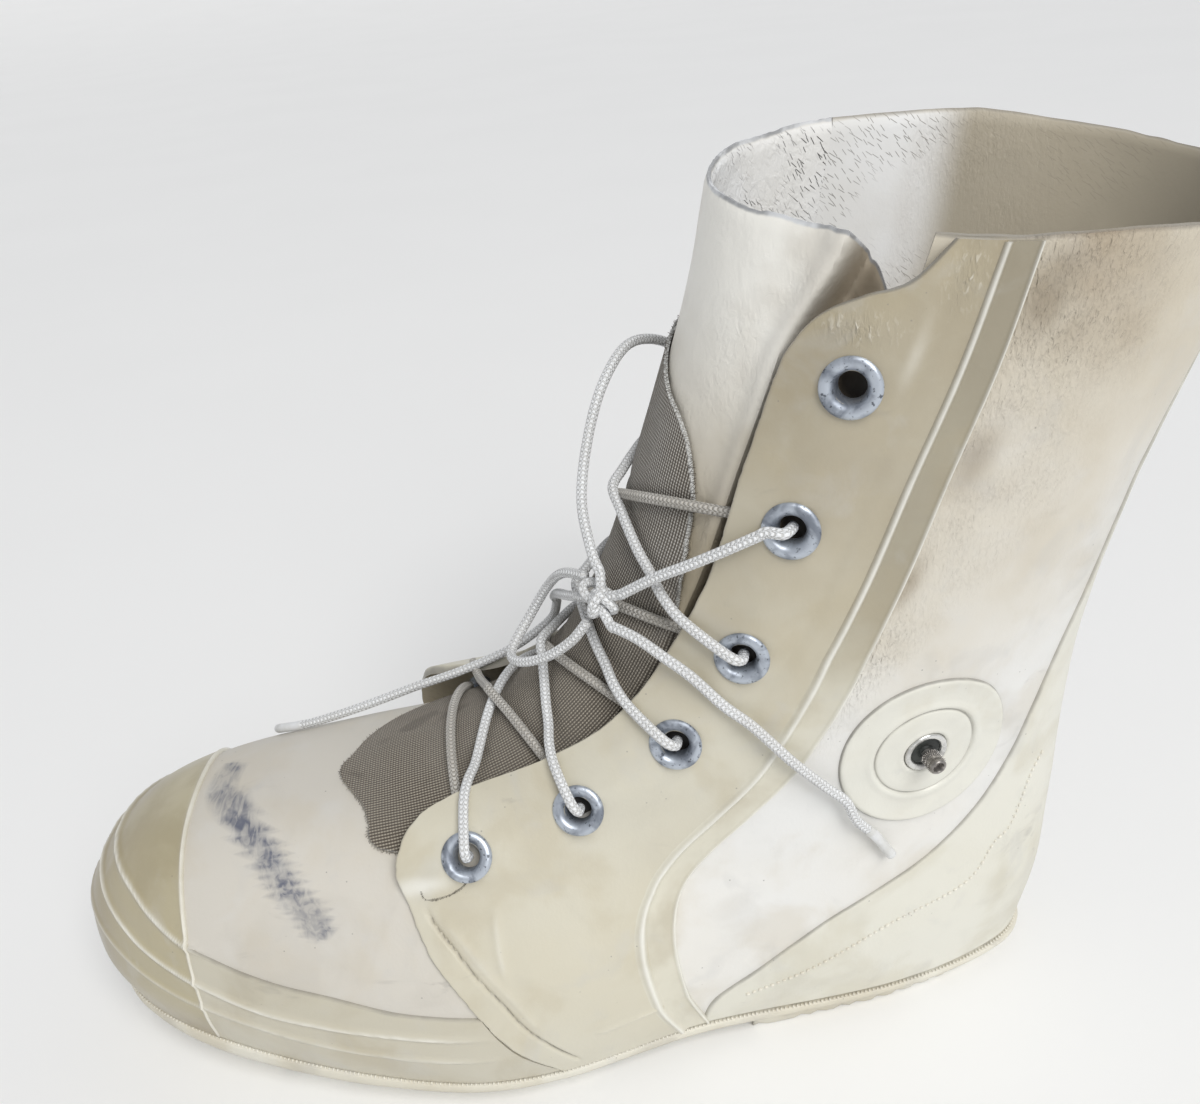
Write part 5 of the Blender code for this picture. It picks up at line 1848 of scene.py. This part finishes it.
@dataclass
class Sole:
    """The moulded outsole with its lip, serrated line, heel block and tread, and the board inside."""

    columns: int = 300
    lip: float = 1.8
    heel_lip: float = 0.8
    tuck: float = 6.0
    heel_tuck: float = 2.0
    arch_y: float = -109.0
    breast_y: float = -54.0
    notch: float = 0.9
    spring_from: float = -232.0
    spring_rise: float = 11.0
    bars: tuple[float, ...] = (-222, -204, -186, -168, -150, -132, -28, -8, 12)
    bar_half: float = 2.5
    bar_reach: tuple[float, float] = (44, 27)       # before the arch and behind it
    channels: tuple[tuple[tuple[float, ...], float, float], ...] = (
        ((-22, 0, 22), -214, -140), ((-12, 12), -36, 20),
    )
    channel_half: float = 1.4
    tooth_pitch: float = 7.5

    def ring(self) -> tuple[Array, Array, Array]:
        """The sole's edge, its outward direction and its height off the floor underneath."""
        turn = np.linspace(0, 360, self.columns, endpoint=False)
        edge, out = FORM.at(0.0, turn), FORM.normal(0.0, turn)
        out[:, 2] = 0
        out /= np.linalg.norm(out, axis=1, keepdims=True)
        floor = self.spring_rise * ease((self.spring_from - edge[:, 1]) / 62) ** 1.3
        return edge, out, floor

    def build(self, finishes: Made) -> None:
        """Builds the sole, its serrated line and the board."""
        edge, out, floor = self.ring()
        y = edge[:, 1]
        lip = self.lip + self.heel_lip * ease((y - 20) / 30)
        tuck = self.heel_tuck + self.tuck * ease((-60 - y) / 60) + self.heel_tuck * ease((y - 20) / 30)
        run = np.cumsum(np.linalg.norm(np.diff(edge, axis=0, prepend=edge[-1:]), axis=1))
        tooth = ease((np.sin(run * 2 * math.pi / self.tooth_pitch) - 0.35) / 0.35)
        # for each ring: how far it stands out on the lip, its height, how far it is tucked in, and how toothed
        profile = (
            (-3.0, 1.0, 0.0, 0.0), (-0.3, 1.0, 0.0, 0.0), (0.45, 1.0, 0.0, 0.0), (0.8, 0.985, 0.0, 0.0),
            (0.96, 0.945, 0.0, 0.0), (1.0, 0.88, 0.0, 0.0), (1.0, 0.8, 0.0, 0.0), (0.9, 0.735, 0.02, 0.0),
            (0.5, 0.69, 0.12, 0.0), (0.1, 0.65, 0.25, 0.0), (0.0, 0.5, 0.45, 0.3), (0.0, 0.3, 0.7, 1.0),
            (0.0, 0.12, 0.92, 1.0), (-0.15, 0.03, 1.0, 1.0), (-0.6, 0.0, 1.0, 1.0),
        )
        rings = []
        for spread, level, tucked, toothed in profile:
            step = spread * np.where(spread > 0, lip, 2.0) - tuck * tucked - self.notch * toothed * tooth
            ring = edge + out * step[:, None]
            ring[:, 2] = floor + (edge[:, 2] - 0.3 - floor) * level
            ring += out * 0.15 * lumps(ring, 9.0, 7.0)[:, None]
            rings.append(ring)
        faces = slab_faces(len(rings), self.columns, flip=True)
        obj = make_object("boot_outsole", np.concatenate(rings), faces, sharp=50)
        self.tread(obj)
        data = obj.data.attributes.new("grime", "FLOAT", "POINT")
        heights = np.array([p.co.z for p in obj.data.vertices])
        data.data.foreach_set("value", 0.45 * np.clip(1 - heights / 0.004, 0, 1))
        place(obj, finishes["sole"], "sole", "outsole")
        seam = FORM.skin(0.0, np.linspace(0, 360, 1200, endpoint=False), 1.15)
        seam[:, 2] += 0.05
        ribs = Repeat(Bead.BALL, (0.8, 1.15, 1.0), 1.5)
        name = "boot_sole_serration"
        place(ribs.along(name, seam, finishes["bead"], closed=True), finishes["bead"], "foxing")
        self.board(finishes)

    def tread(self, obj: bpy.types.Object) -> None:
        """Cuts the arch and the grooves between the lugs."""
        boxes = [((-80, self.arch_y, -5), (80, self.breast_y, 5.0))]
        for y in self.bars:
            wide = self.bar_reach[0] if y < self.arch_y else self.bar_reach[1]
            boxes.append(((-wide, y - self.bar_half, -3), (wide, y + self.bar_half, 3.0)))
        for across, first, last in self.channels:
            half = self.channel_half
            boxes += [((x - half, first, -3), (x + half, last, 2.0)) for x in across]
        points, faces = [], []
        for low, high in boxes:
            n = len(points)
            points += product(*zip(low, high))
            quads = [(0, 1, 3, 2), (4, 6, 7, 5), (0, 4, 5, 1), (2, 3, 7, 6), (0, 2, 6, 4), (1, 5, 7, 3)]
            faces += [tuple(n + q for q in quad) for quad in quads]
        cut_away(obj, make_object("tread_cutter", np.array(points, float), faces), overlapping=True)

    def board(self, finishes: Made) -> None:
        """The board inside, a little crowned."""
        turn = np.linspace(0, 360, 160, endpoint=False)
        rim = FORM.skin(0.0, turn, -11.0)
        base = FORM.at(0.0, turn)[:, 2] + 0.3
        rings = []
        for grow, rise in ((0.99, 0.0), (1.0, 0.6), (1.0, 3.2), (0.985, 3.9)):
            ring = rim.copy()
            ring[:, 0] = rim[:, 0] * grow
            ring[:, 2] = base + rise
            rings.append(ring)
        board = make_object("boot_insole", np.concatenate(rings), slab_faces(len(rings), len(turn)))
        place(board, finishes["liner"], "liner", "insole")


# ---- metal pieces


@dataclass
class EyeletSet:
    """Twelve rolled metal eyelets in the flaps."""

    profile: Profile = (
        (4.25, -4.6), (4.25, -0.4), (7.3, -0.35), (7.85, -0.1), (8.0, 0.3), (7.8, 0.75), (7.2, 1.15),
        (6.4, 1.35), (5.6, 1.2), (4.9, 0.7), (4.3, -0.1), (3.95, -1.1), (3.75, -2.2), (3.7, -4.6),
    )

    def build(self, panel: SidePanel, finishes: Made) -> None:
        """Builds them on the outside of the flaps."""
        for side, label in SIDES:
            for k, (v, turn) in enumerate(EYELETS):
                seat = float(panel.top(np.array(v), np.array(side * turn)))
                stand = FORM.stand(v, side * turn, seat + 0.15)
                obj = turned(f"boot_eyelet_{label}_{k + 1}", self.profile, stand, 44, shake=0.12)
                place(obj, finishes["zinc"], "metal", f"eyelet_{label}_{k + 1}")


@dataclass
class Valve:
    """The air valve: a round moulded patch, a bright ring with a black hub, and a knurled screw cap."""

    v: float = 4.9
    turn: float = 121.5
    seat: float = 1.0
    knurl_radius: float = 2.48
    knurl_heights: tuple[float, ...] = (2.9, 4.6, 6.3)
    patch: Profile = (
        (7.2, -0.6), (7.25, 1.0), (7.6, 1.35), (8.2, 1.45), (8.9, 1.2), (9.8, 1.0), (13.0, 0.95),
        (15.6, 0.9), (16.1, 0.75), (16.45, 0.3), (16.8, 0.35), (17.2, 0.95), (17.8, 1.25), (18.6, 1.15),
        (19.6, 0.85), (20.6, 0.75), (23.0, 0.85), (25.6, 1.0), (26.6, 1.2), (27.3, 1.15), (27.8, 0.75),
        (28.0, 0.1), (28.05, -0.6),
    )

    def build(self, finishes: Made) -> None:
        """Builds the patch, ring, hub and cap."""
        stand = FORM.stand(self.v, self.turn)
        angle = np.linspace(0, 2 * math.pi, 112, endpoint=False)
        spoke = np.outer(np.cos(angle), stand.side) + np.outer(np.sin(angle), stand.up)
        radii = np.array([r for r, _ in self.patch])
        flat = np.array(stand.at) + spoke[None, :, :] * radii[:, None, None]
        v, turn = FORM.nearest(flat, self.v, self.turn)
        height = np.array([h for _, h in self.patch])[:, None] + relief(FORM.at(v, turn), ())
        outer = FORM.skin(v, turn, height)
        inner = FORM.skin(v, turn, np.full_like(v, -0.75))
        # painted shadow lines at the outer edge and in the inner groove
        edge = bell(radii - 28.0, 0.4) + 0.8 * bell(radii - 16.5, 0.4)
        grime = np.broadcast_to(edge[:, None], v.shape)
        obj = plate("boot_valve_patch", outer, inner, closed=True, marks={"grime": (grime, grime)})
        place(obj, finishes["patch"], "panel", "valve_patch")
        seated = FORM.stand(self.v, self.turn, self.seat)
        ring = (
            (6.9, -0.9), (7.05, 0.3), (6.9, 0.75), (6.5, 1.0), (5.9, 1.05), (5.4, 0.85), (5.05, 0.4),
            (5.0, -0.9),
        )
        place(turned("boot_valve_ring", ring, seated, 56), finishes["nickel"], "metal", "valve_body")
        hub = (
            (0.05, -0.85), (4.95, -0.85), (4.95, -0.2), (4.3, 0.25), (3.4, 0.45), (2.5, 0.3), (2.2, 0.9),
            (0.05, 0.9),
        )
        place(turned("boot_valve_hub", hub, seated, 40, loop=False), finishes["hub"], "dark_metal")
        self.cap(seated, finishes)

    def cap(self, stand: Stand, finishes: Made) -> None:
        """The screw cap with its neck, knurls and hollow end, which turns as one."""
        shape = (
            (0.05, 0.9), (1.75, 0.9), (1.75, 2.0), (2.25, 2.1), (2.45, 2.35), (2.45, 6.9), (2.65, 7.1),
            (2.65, 7.7), (2.35, 8.05), (1.85, 8.0), (1.6, 7.6), (1.5, 5.9), (0.05, 5.7),
        )
        obj = turned("boot_valve_cap", shape, stand, 48, loop=False)
        place(obj, finishes["gunmetal"], "dark_metal", "valve_cap", body=CAP_BODY)
        angle = np.linspace(0, 2 * math.pi, 72, endpoint=False)
        round_ = np.outer(np.cos(angle), stand.side) + np.outer(np.sin(angle), stand.up)
        for row, height in enumerate(self.knurl_heights):
            path = np.array(stand.at) + np.array(stand.normal) * height + round_ * self.knurl_radius
            knurl = Repeat(Bead.BALL, (0.42, 0.45, 1.35), 0.66)
            ribs = knurl.along(f"boot_valve_knurl_{row + 1}", path, finishes["gunmetal"], closed=True)
            place(ribs, finishes["gunmetal"], "dark_metal", body=CAP_BODY)


# ---- lace


@dataclass
class Lacing:
    """The lace: joined crossings between the flaps, then the strands, knot, loop and ends that lie free."""

    radius: float = 1.6
    step: float = 0.42
    sides: int = 24
    plait: float = 3.0
    tip: float = 17.0
    over_cloth: float = 3.4
    knot_radius: float = 1.5
    knot_at: tuple[float, float, float] = (7.75, 22, 10.5)
    knot_tail: Route = ((7.80, 19.5, 9.6), (7.74, 24.0, 11.4))
    knot_through: Route = ((7.80, 24.0, 11.6), (7.72, 18.5, 11.6))
    knot_down: Route = ((7.84, 22.2, 11.2), (7.72, 23.6, 10.6))
    strand_lateral: Route = (
        (8.6, 54.5, 10.0), (8.47, 49.5, 11.2), (8.3, 43, 11.5), (8.12, 36, 11.4), (7.88, 28.5, 10.8),
    )
    strand_medial: Route = (
        (8.6, -50, 9.8), (8.9, -47, 11.2), (9.15, -41, 12.5), (9.3, -31, 14.5), (9.3, -21, 16.5),
        (9.05, -12, 17.5), (8.7, -5, 17.0), (8.35, 4, 15.5), (8.08, 14, 12.8), (7.95, 20, 11.4),
    )
    loop: Route = (
        (7.86, 15, 12.0), (7.72, 5, 13.2), (7.45, -3, 13.5), (7.05, -5.5, 13.0), (6.75, 2, 12.5),
        (6.8, 10, 12.5), (7.05, 17, 12.0), (7.32, 21, 11.5), (7.55, 22.5, 11.0),
    )
    end_lateral: Route = (
        (7.62, 30, 11.0), (7.6, 38, 11.0), (7.5, 46, 10.6), (7.35, 54, 10.0), (7.05, 64, 8.8),
        (6.75, 73, 6.9), (6.2, 86, 5.6), (5.5, 99, 4.2), (4.75, 109, 4.4), (4.0, 116, 4.4),
        (3.3, 122, 3.3), (2.65, 126.5, 3.0),
    )
    end_medial: Route = (
        (7.66, 14, 10.6), (7.55, 6, 9.7), (7.42, -3, 9.5), (7.2, -14, 9.6), (6.9, -26, 10.0),
        (6.4, -36, 10.4), (5.8, -38, 9.8), (5.3, -36.5, 9.0), (4.88, -35, 8.4), (4.5, -33, 5.6),
        (4.15, -31, 2.9), (3.9, -31, 2.2), (3.65, -32.5, 2.2), (3.4, -36, 2.2),
    )

    def curve(self, rows: Route) -> Array:
        """A smooth curve through v, turn and distance out, at even steps, in millimetres."""
        return self.even(FORM.skin(*np.array(rows, float).T))

    def even(self, places: Array) -> Array:
        """A smooth curve through places, resampled at even steps."""
        fine = smooth_rows(places, 40 * len(places))
        run = run_along(fine)
        wanted = np.linspace(0, run[-1], max(8, int(run[-1] / self.step)))
        return np.stack([np.interp(wanted, run, fine[:, k]) for k in range(3)], 1)

    def tube(
        self, name: str, line: Array, radius: float, braided: bool = True, closed: bool = False,
    ) -> bpy.types.Object:
        """A round cord along a line, with the lattice of its braid in its surface.

        Args:
            name: the piece's name.
            line: the centreline, in millimetres.
            radius: the cord's radius.
            braided: whether it has a braid; else it is smooth.
            closed: whether the line is a loop.

        Returns:
            The piece.
        """
        count = len(line)
        ahead = np.gradient(line, axis=0)
        if closed:
            ahead = np.roll(line, -1, 0) - np.roll(line, 1, 0)
        ahead /= np.linalg.norm(ahead, axis=1, keepdims=True)
        side = np.cross(ahead[0], (0.3, 0.2, 1.0))
        sides = []
        for direction in ahead:
            side = side - direction * (side @ direction)
            side = side / np.linalg.norm(side)
            sides.append(side)
        sides = np.array(sides)
        other = np.cross(ahead, sides)
        angle = np.linspace(0, 2 * math.pi, self.sides, endpoint=False)
        run = run_along(line)
        reach = np.full((count, self.sides), radius)
        if braided:
            round_, twist = 4 * angle, run[:, None] * 2 * math.pi / self.plait
            reach = radius * (0.955 + 0.07 * np.abs(np.cos(round_ + twist) * np.cos(round_ - twist)))
        spokes = (sides[:, None, :] * np.cos(angle)[None, :, None]
                  + other[:, None, :] * np.sin(angle)[None, :, None])
        points = line[:, None, :] + reach[..., None] * spokes
        uv = np.stack(np.broadcast_arrays(angle[None, :] / (2 * math.pi), run[:, None] * MM), -1)
        points, uv = points.reshape(-1, 3), uv.reshape(-1, 2)
        n = self.sides
        faces = ring_faces(count, n, closed)
        if not closed:
            tips = [line[0] - ahead[0] * radius * 0.55, line[-1] + ahead[-1] * radius * 0.55]
            points = np.concatenate([points, tips])
            uv = np.concatenate([uv, [(0.5, 0.0), (0.5, run[-1] * MM)]])
            last, next_to = (count - 1) * n, [*range(1, n), 0]
            faces += [(m, k, count * n) for k, m in enumerate(next_to)]
            faces += [(last + k, last + m, count * n + 1) for k, m in enumerate(next_to)]
        obj = make_object(name, points, faces, sharp=80)
        layer = obj.data.uv_layers.new(name="surface")
        values = uv[corners_of(obj.data)]
        for face in obj.data.polygons:
            part = values[face.loop_start:face.loop_start + face.loop_total, 0]
            if part.max() - part.min() > 0.6 and face.loop_total == 4:
                part[part < 0.3] += 1.0
        layer.data.foreach_set("uv", values.ravel())
        return obj

    def hole(self, panel: SidePanel, k: int, side: int) -> tuple[float, Array, Array]:
        """How far an eyelet's seat stands off, its middle, and the way out of it."""
        v, turn = EYELETS[k][0], side * EYELETS[k][1]
        seat = float(panel.top(np.array(v), np.array(turn)))
        stand = FORM.stand(v, turn, seat)
        return seat, np.array(stand.at), np.array(stand.normal)

    def crossing_line(self, panel: SidePanel, k: int, side: int, hump: float) -> Array:
        """One strand: up through an eyelet, over its flap, across the tongue and in under the other flap."""
        near, far = EYELETS[k], EYELETS[k + 1]
        seat, at, out = self.hole(panel, k, side)
        heights = np.array([seat + 2.2, 7.2, 4.2, 3.5, *[self.over_cloth] * 6, 3.3, 3.2, 2.7])
        route = crossing((near[0], side * near[1]), (far[0], -side * far[1]), len(heights))
        middle = bell(np.linspace(-1, 1, len(heights)), 0.16) * hump
        across = FORM.skin(*np.array(route).T, heights + middle)
        lean = across[0] - at
        lean /= np.linalg.norm(lean)
        over_flap = [at - out * 3.0, at + out * 1.2, at + out * 3.3 + lean * 4.2]
        return self.even(np.concatenate([over_flap, across]))

    def build(self, panel: SidePanel, finishes: Made) -> None:
        """Builds every length of the lace; the free ones come first."""
        self.free_lengths(finishes)
        for side, label in SIDES:
            self.stub(panel, side, label, finishes)
        heights = np.array([2.7, 3.0, 3.3, *[self.over_cloth] * 5, 3.3, 3.0, 2.7])
        route = crossing(EYELETS[0], (EYELETS[0][0], -EYELETS[0][1]), len(heights))
        bar = self.even(FORM.skin(*np.array(route).T, heights))
        place(self.tube("boot_lace_bar", bar, self.radius), finishes["old lace"], "lace", "lace_bar")
        for k in range(4):
            for side, label in SIDES:
                hump = 3.0 if (side > 0) == (k > 0) else 0.0
                line = self.crossing_line(panel, k, side, hump)
                obj = self.tube(f"boot_lace_{label}_{k + 1}", line, self.radius)
                nodes = (f"lace_cross_{k + 1}",) if side > 0 else ()
                place(obj, finishes["lace" if side > 0 else "old lace"], "lace", *nodes)

    def stub(self, panel: SidePanel, side: int, label: str, finishes: Made) -> None:
        """The short length that comes up through the fifth eyelet, to where the free strand starts."""
        _, at, out = self.hole(panel, 4, side)
        line = self.curve(self.strand_lateral if side > 0 else self.strand_medial)
        ahead = (line[3] - line[0]) / np.linalg.norm(line[3] - line[0])
        lean = line[0] - at
        lean /= np.linalg.norm(lean)
        route = [
            at - out * 3.2, at - out * 0.6 + lean * 0.4, at + out * 1.7 + lean * 1.9, line[0] - ahead * 2.2,
            line[0] + ahead * 0.25,
        ]
        stub = self.tube(f"boot_lace_stub_{label}", self.even(np.array(route)), self.radius)
        place(stub, finishes["lace"], "lace")

    def knot(self, finishes: Made) -> list[bpy.types.Object]:
        """The knot: a tight overhand tangle, with one turn round it."""
        stand = FORM.stand(*self.knot_at)
        basis = np.array((stand.side, stand.up, stand.normal))
        t = np.linspace(0, 2 * math.pi, 170, endpoint=False)
        tangle = np.stack([(np.sin(t) + 2 * np.sin(2 * t)) * 2.3, (np.cos(t) - 2 * np.cos(2 * t)) * 1.45,
                           -np.sin(3 * t) * 1.9], 1)
        at = np.array(stand.at)
        first = self.tube("boot_lace_knot", at + tangle @ basis, self.knot_radius, closed=True)
        place(first, finishes["lace"], "lace", "lace_knot")
        t = np.linspace(0, 2 * math.pi, 90, endpoint=False)
        wrap = np.stack([1.6 + 0.9 * np.sin(t), 3.6 * np.cos(t), 3.5 * np.sin(t)], 1)
        second = self.tube("boot_lace_knot_turn", at + wrap @ basis, self.knot_radius, closed=True)
        place(second, finishes["lace"], "lace")
        outer, inner = self.curve(self.strand_lateral)[-14::4], self.curve(self.strand_medial)[-14::4]
        joins = {
            "tail": (self.knot_tail, (), self.curve(self.end_lateral)[:14:4]),
            "through": (self.knot_through, outer, self.curve(self.end_medial)[2:14:4]),
            "down": (self.knot_down, inner, ()),
        }
        found = [first, second]
        for name, (rows, before, after) in joins.items():
            middle = FORM.skin(*np.array(rows).T)
            route = [np.reshape(points, (-1, 3)) for points in (before, middle, after)]
            line = self.even(np.concatenate(route))
            found.append(self.tube(f"boot_lace_knot_{name}", line, self.radius - 0.04))
            place(found[-1], finishes["lace"], "lace")
        return found

    def free_lengths(self, finishes: Made) -> None:
        """The strands to the knot, the loop and the two ends."""
        knot = self.knot(finishes)
        routes = {
            "strand_lateral": self.strand_lateral, "strand_medial": self.strand_medial, "loop": self.loop,
            "end_lateral": self.end_lateral, "end_medial": self.end_medial,
        }
        for name, rows in routes.items():
            line = self.curve(rows)
            far_end = "fitting" if name.startswith("end") else "knot"
            pieces = []
            obj = self.tube(f"boot_lace_{name}", line, self.radius)
            place(obj, finishes["lace"], "lace", f"lace_{name}")
            if far_end == "fitting":
                count = int(self.tip / self.step)
                tip = self.tube(f"boot_lace_tip_{name}", line[-count:], self.radius * 1.06, braided=False)
                place(tip, finishes["tip"], "lace")
                pieces.append(tip)
            if name == "strand_lateral":
                pieces += knot


# ---- studio


@dataclass
class Studio:
    """A plain pale floor, soft lights and the camera."""

    eye: tuple[float, float, float] = (296.755, -92.375, 336.550)
    azimuth: float = 1.57503
    elevation: float = 0.55742
    roll: float = -0.106605
    lens: float = 32.67
    sensor: float = 36.0
    shift: float = 0.0567
    floor_sides: int = 72
    floor_rings: Profile = (
        (2.0, 0.0), (9.0, 0.0), (13.0, 0.5), (18.0, 3.0), (22.0, 7.0),
    )
    sky: Colour = (0.94, 0.96, 1.0)
    sky_power: float = 0.44
    sun_power: float = 1.65
    sun_ray: tuple[float, float, float] = (-0.68, -0.35, -1.0)
    light_tint: Colour = (1.0, 0.99, 0.97)

    def camera(self) -> None:
        """Sets the camera at the viewing angle."""
        az, el = self.azimuth, self.elevation
        back = Vector((math.sin(az) * math.cos(el), -math.cos(az) * math.cos(el), math.sin(el)))
        right = Vector((math.cos(az), math.sin(az), 0))
        up = back.cross(right)
        side = right * math.cos(self.roll) + up * math.sin(self.roll)
        top = up * math.cos(self.roll) - right * math.sin(self.roll)
        data = bpy.data.cameras.new("camera")
        data.lens, data.sensor_width, data.shift_y = self.lens, self.sensor, self.shift
        data.clip_start, data.clip_end = 0.01, 60
        obj = add_object("camera", data)
        facing = Matrix((side, top, back)).transposed().to_4x4()
        obj.matrix_world = Matrix.Translation(Vector(self.eye) * MM) @ facing
        bpy.context.scene.camera = obj

    def light(self, name: str, data: bpy.types.Light, ray: Vector, power: float) -> bpy.types.Object:
        """A light that shines one way."""
        data.energy, data.color = power, self.light_tint
        obj = add_object(name, data)
        obj.rotation_euler = ray.to_track_quat("-Z", "Y").to_euler()
        return obj

    def floor(self) -> None:
        """The floor, which rises far off."""
        turn = np.linspace(0, 2 * math.pi, self.floor_sides, endpoint=False)
        corners = [(r * math.cos(a), r * math.sin(a), z) for r, z in self.floor_rings for a in turn]
        mesh = bpy.data.meshes.new("floor")
        faces = ring_faces(len(self.floor_rings), self.floor_sides, flip=True)
        mesh.from_pydata(corners, [], [tuple(range(self.floor_sides)), *faces])
        mesh.shade_smooth()
        floor = add_object("floor", mesh)
        t = Tree("pale floor")
        tone = t.noise(t.place(), 3.0, 3.0)
        mesh.materials.append(t.set(
            Base_Color=t.mix(tone.between(0.3, 0.7), (0.88, 0.88, 0.875), (0.87, 0.87, 0.865)),
            Roughness=0.7,
        ))

    def build(self) -> None:
        """Makes the floor, the lights and the sky light."""
        self.floor()
        world = bpy.data.worlds.new("studio")
        world.use_nodes = True
        sky = world.node_tree.nodes["Background"].inputs
        sky["Color"].default_value, sky["Strength"].default_value = (*self.sky, 1.0), self.sky_power
        bpy.context.scene.world = world
        sun = bpy.data.lights.new("soft sun", "SUN")
        sun.angle = math.radians(32)
        self.light("soft sun", sun, Vector(self.sun_ray), self.sun_power)
        window = bpy.data.lights.new("window", "AREA")
        window.shape, window.size = "SQUARE", 0.7
        at = Vector((1.3, 0.5, 1.2))
        self.light("window", window, Vector((0, -0.08, 0.1)) - at, 6.0).location = at
        bpy.context.scene.view_settings.view_transform = "Standard"


# ---- the whole boot


def main() -> None:
    """Builds the boot and its studio."""
    logging.basicConfig(level=logging.INFO, format="%(name)s %(message)s")
    studio = Studio()
    studio.camera()
    finishes = Finishes().build()
    panel = SidePanel()
    Lacing().build(panel, finishes)
    Upper().build(finishes)
    ToeCap().build(finishes)
    Foxing().build(finishes)
    panel.build(finishes)
    HeelCounter().build(finishes)
    Throat().build(finishes)
    Sole().build(finishes)
    EyeletSet().build(panel, finishes)
    Valve().build(finishes)
    studio.build()


if __name__ == "__main__":
    main()
